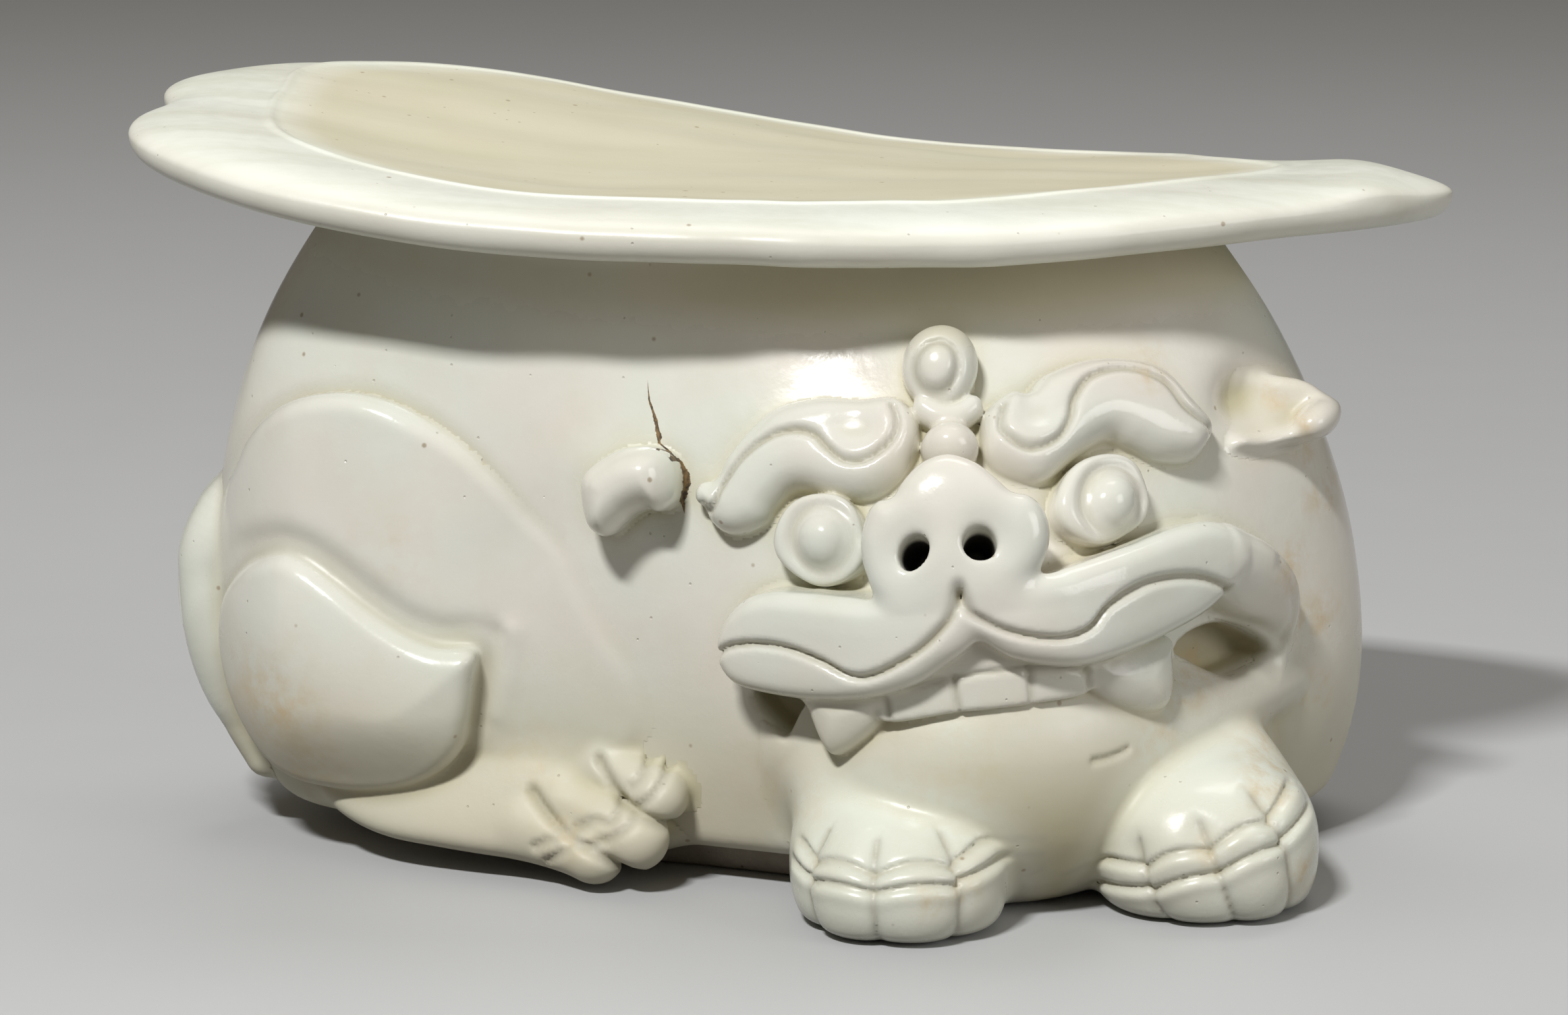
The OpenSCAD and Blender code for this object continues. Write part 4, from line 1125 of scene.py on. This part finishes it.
def ring_mesh(rings, middles):
    """Points and quads of a closed form: rings from the top's middle outwards and back to the bottom's."""
    count, turns = rings.shape[:2]
    grid = np.arange(count * turns).reshape(count, turns)
    ahead = np.roll(grid, -1, axis=1)
    sides = np.stack([grid[:-1], grid[1:], ahead[1:], ahead[:-1]], axis=2).reshape(-1, 4)
    quads = [sides, fan(grid[0], grid.size), fan(grid[-1][::-1], grid.size + 1)]
    return np.concatenate([rings.reshape(-1, 3), middles]), np.concatenate(quads)


def fan(ring, hub):
    """Quads that close a ring of points round a middle point."""
    first, second = ring[0::2], ring[1::2]
    return np.stack([np.full(len(first), hub), first, second, np.roll(first, -1)], axis=1)


def base_slab(material):
    """The clay slab that closes the body below, with its edges rubbed round."""
    turns = np.radians(np.arange(1, 360, 2))
    c, s = np.cos(turns), np.sin(turns)
    top = BASE_THICK + 0.3
    profile = [(0.55, top), (0.985, top), (0.98, BASE_THICK - 0.6), (0.93, 1.4), (0.92, 0.5), (0.905, 0),
               (0.55, 0)]
    z0 = np.float64(BASE_THICK)
    x = (half_len(z0) - BASE_INSET) * np.sign(c) * np.abs(c) ** (2 / PLAN_POWER) + mid_x(z0)
    side = np.abs(s) ** (2 / PLAN_POWER)
    y = np.where(s > 0, (rear_out(z0) - BASE_INSET) * side, -(front_out(x, z0) - BASE_INSET) * side)
    rings = [np.stack([x * share, y * share, np.full(len(x), z)], axis=1) for share, z in profile]
    points, quads = ring_mesh(np.array(rings), [(0, 0, top), (0, 0, 0)])
    new_piece("pillow_base", points, quads, None, {}, material, "base_slab")


# The lion

def sculpt_face():
    block = Block((-43, -94, -2), (114, 6, 108), FACE_STEP)
    forepaws(block)
    jaw(block)
    teeth(block)
    fangs(block)
    cheek(block)
    muzzle(block)
    eye(block, "left", x=7.9, z=65.7, radius=7.8, flat=1.08, ball=(0.8, 0))
    eye(block, "right", x=54, z=71.2, radius=8.1, flat=1.16, ball=(0.9, -0.5))
    brow(block, "left_brow", LEFT_BROW, LEFT_BROW_LINE, curl=(13.5, 82.6), tip=(-12.5, 71.8))
    brow(block, "right_brow", RIGHT_BROW, RIGHT_BROW_LINE, curl=(42.4, 84.6))
    crest(block)
    left_ear(block)
    right_ear(block)
    return block


def sculpt_legs():
    near = Block((-120, -68, -2), (-6, 18, 96), NEAR_STEP)
    tail(near)
    hind_leg(near, "near", 1)
    far = Block((-114, 0, -2), (-6, 74, 96), FAR_STEP)
    hind_leg(far, "far", -1)
    return near, far


def lion(material):
    face = sculpt_face()
    near, far = sculpt_legs()
    for block in (face, near, far):
        for piece, points, quads, normals in raised_pieces(block):
            looks = looks_of(points, [block])
            new_piece("pillow_" + piece, points, quads, normals, looks, material, piece)
    trunk = Block((-111, -78, 2), (114, 57, 134), TRUNK_STEP)
    points, quads, normals = skin_mesh(trunk, trunk.body)
    looks = looks_of(points, [far, near, face])
    new_piece("pillow_body", points, quads, normals, looks, material, "body_shell")


# Stage

def floor():
    """A plain pale floor, which throws less light up at the object than it shows."""
    bpy.ops.mesh.primitive_plane_add(size=9, location=(0, 2, -0.0003))
    plane = bpy.context.object
    plane.name = "floor"
    material = bpy.data.materials.new("floor")
    n = Nodes(material)
    path = n.add("LightPath").outputs
    seen = n.most(path["Is Camera Ray"], path["Is Glossy Ray"], path["Is Transmission Ray"])
    shown = n.tint(n.noise(3, 3.0), (0.50, 0.505, 0.51), (0.53, 0.535, 0.54))
    thrown = (0.16, 0.155, 0.15)
    color = n.tint(seen, thrown, shown)
    n.finish(color, n.span(n.noise(40), 0, 1, 0.5, 0.6), n.bump(n.noise(600), 0.03, 0.0005))
    plane.data.materials.append(material)


def lamp(name, place, target, size, power):
    data = bpy.data.lights.new(name, "AREA")
    data.shape = "RECTANGLE"
    data.size, data.size_y = size
    data.energy = power
    light = bpy.data.objects.new(name, data)
    bpy.context.scene.collection.objects.link(light)
    light.location = place
    way = Vector(place) - Vector(target)
    light.rotation_euler = way.to_track_quat("Z", "Y").to_euler()


def studio():
    world = bpy.data.worlds.new("studio")
    bpy.context.scene.world = world
    world.use_nodes = True
    shade = world.node_tree.nodes["Background"]
    shade.inputs["Color"].default_value = (1, 0.91, 0.76, 1)
    shade.inputs["Strength"].default_value = 0.125
    lamp("key", place=(-0.58, -1.25, 1.62), target=(0, 0, 0.06), size=(0.36, 0.14), power=40)
    lamp("top", place=(0.1, 0.5, 1.5), target=(0, 0, 0.1), size=(1.0, 0.6), power=6)
    lamp("fill", place=(1.5, -0.9, 0.6), target=(0, 0, 0.06), size=(0.8, 0.8), power=7.5)
    floor()


def camera():
    """The photograph's viewpoint: 850 mm away, 11.5 degrees above level."""
    away, tilt, aim_z = 0.850, math.radians(11.5), 0.0597
    data = bpy.data.cameras.new("camera")
    data.sensor_fit = "HORIZONTAL"
    data.sensor_width = 36
    data.lens = 104.15
    view = bpy.data.objects.new("camera", data)
    bpy.context.scene.collection.objects.link(view)
    view.location = (0, -away * math.cos(tilt), aim_z + away * math.sin(tilt))
    view.rotation_euler = (math.pi / 2 - tilt, 0, 0)
    bpy.context.scene.camera = view
    bpy.context.scene.view_settings.view_transform = "Standard"


camera()
studio()
lion(glaze("white_glaze", rough=0.11, tone=1.0))
# a brighter copy of the lion's glaze, tone 1.07: painted light on the headrest
headrest(glaze("headrest_glaze", rough=0.3, tone=1.07, streaks=True))
base_slab(bare_clay())
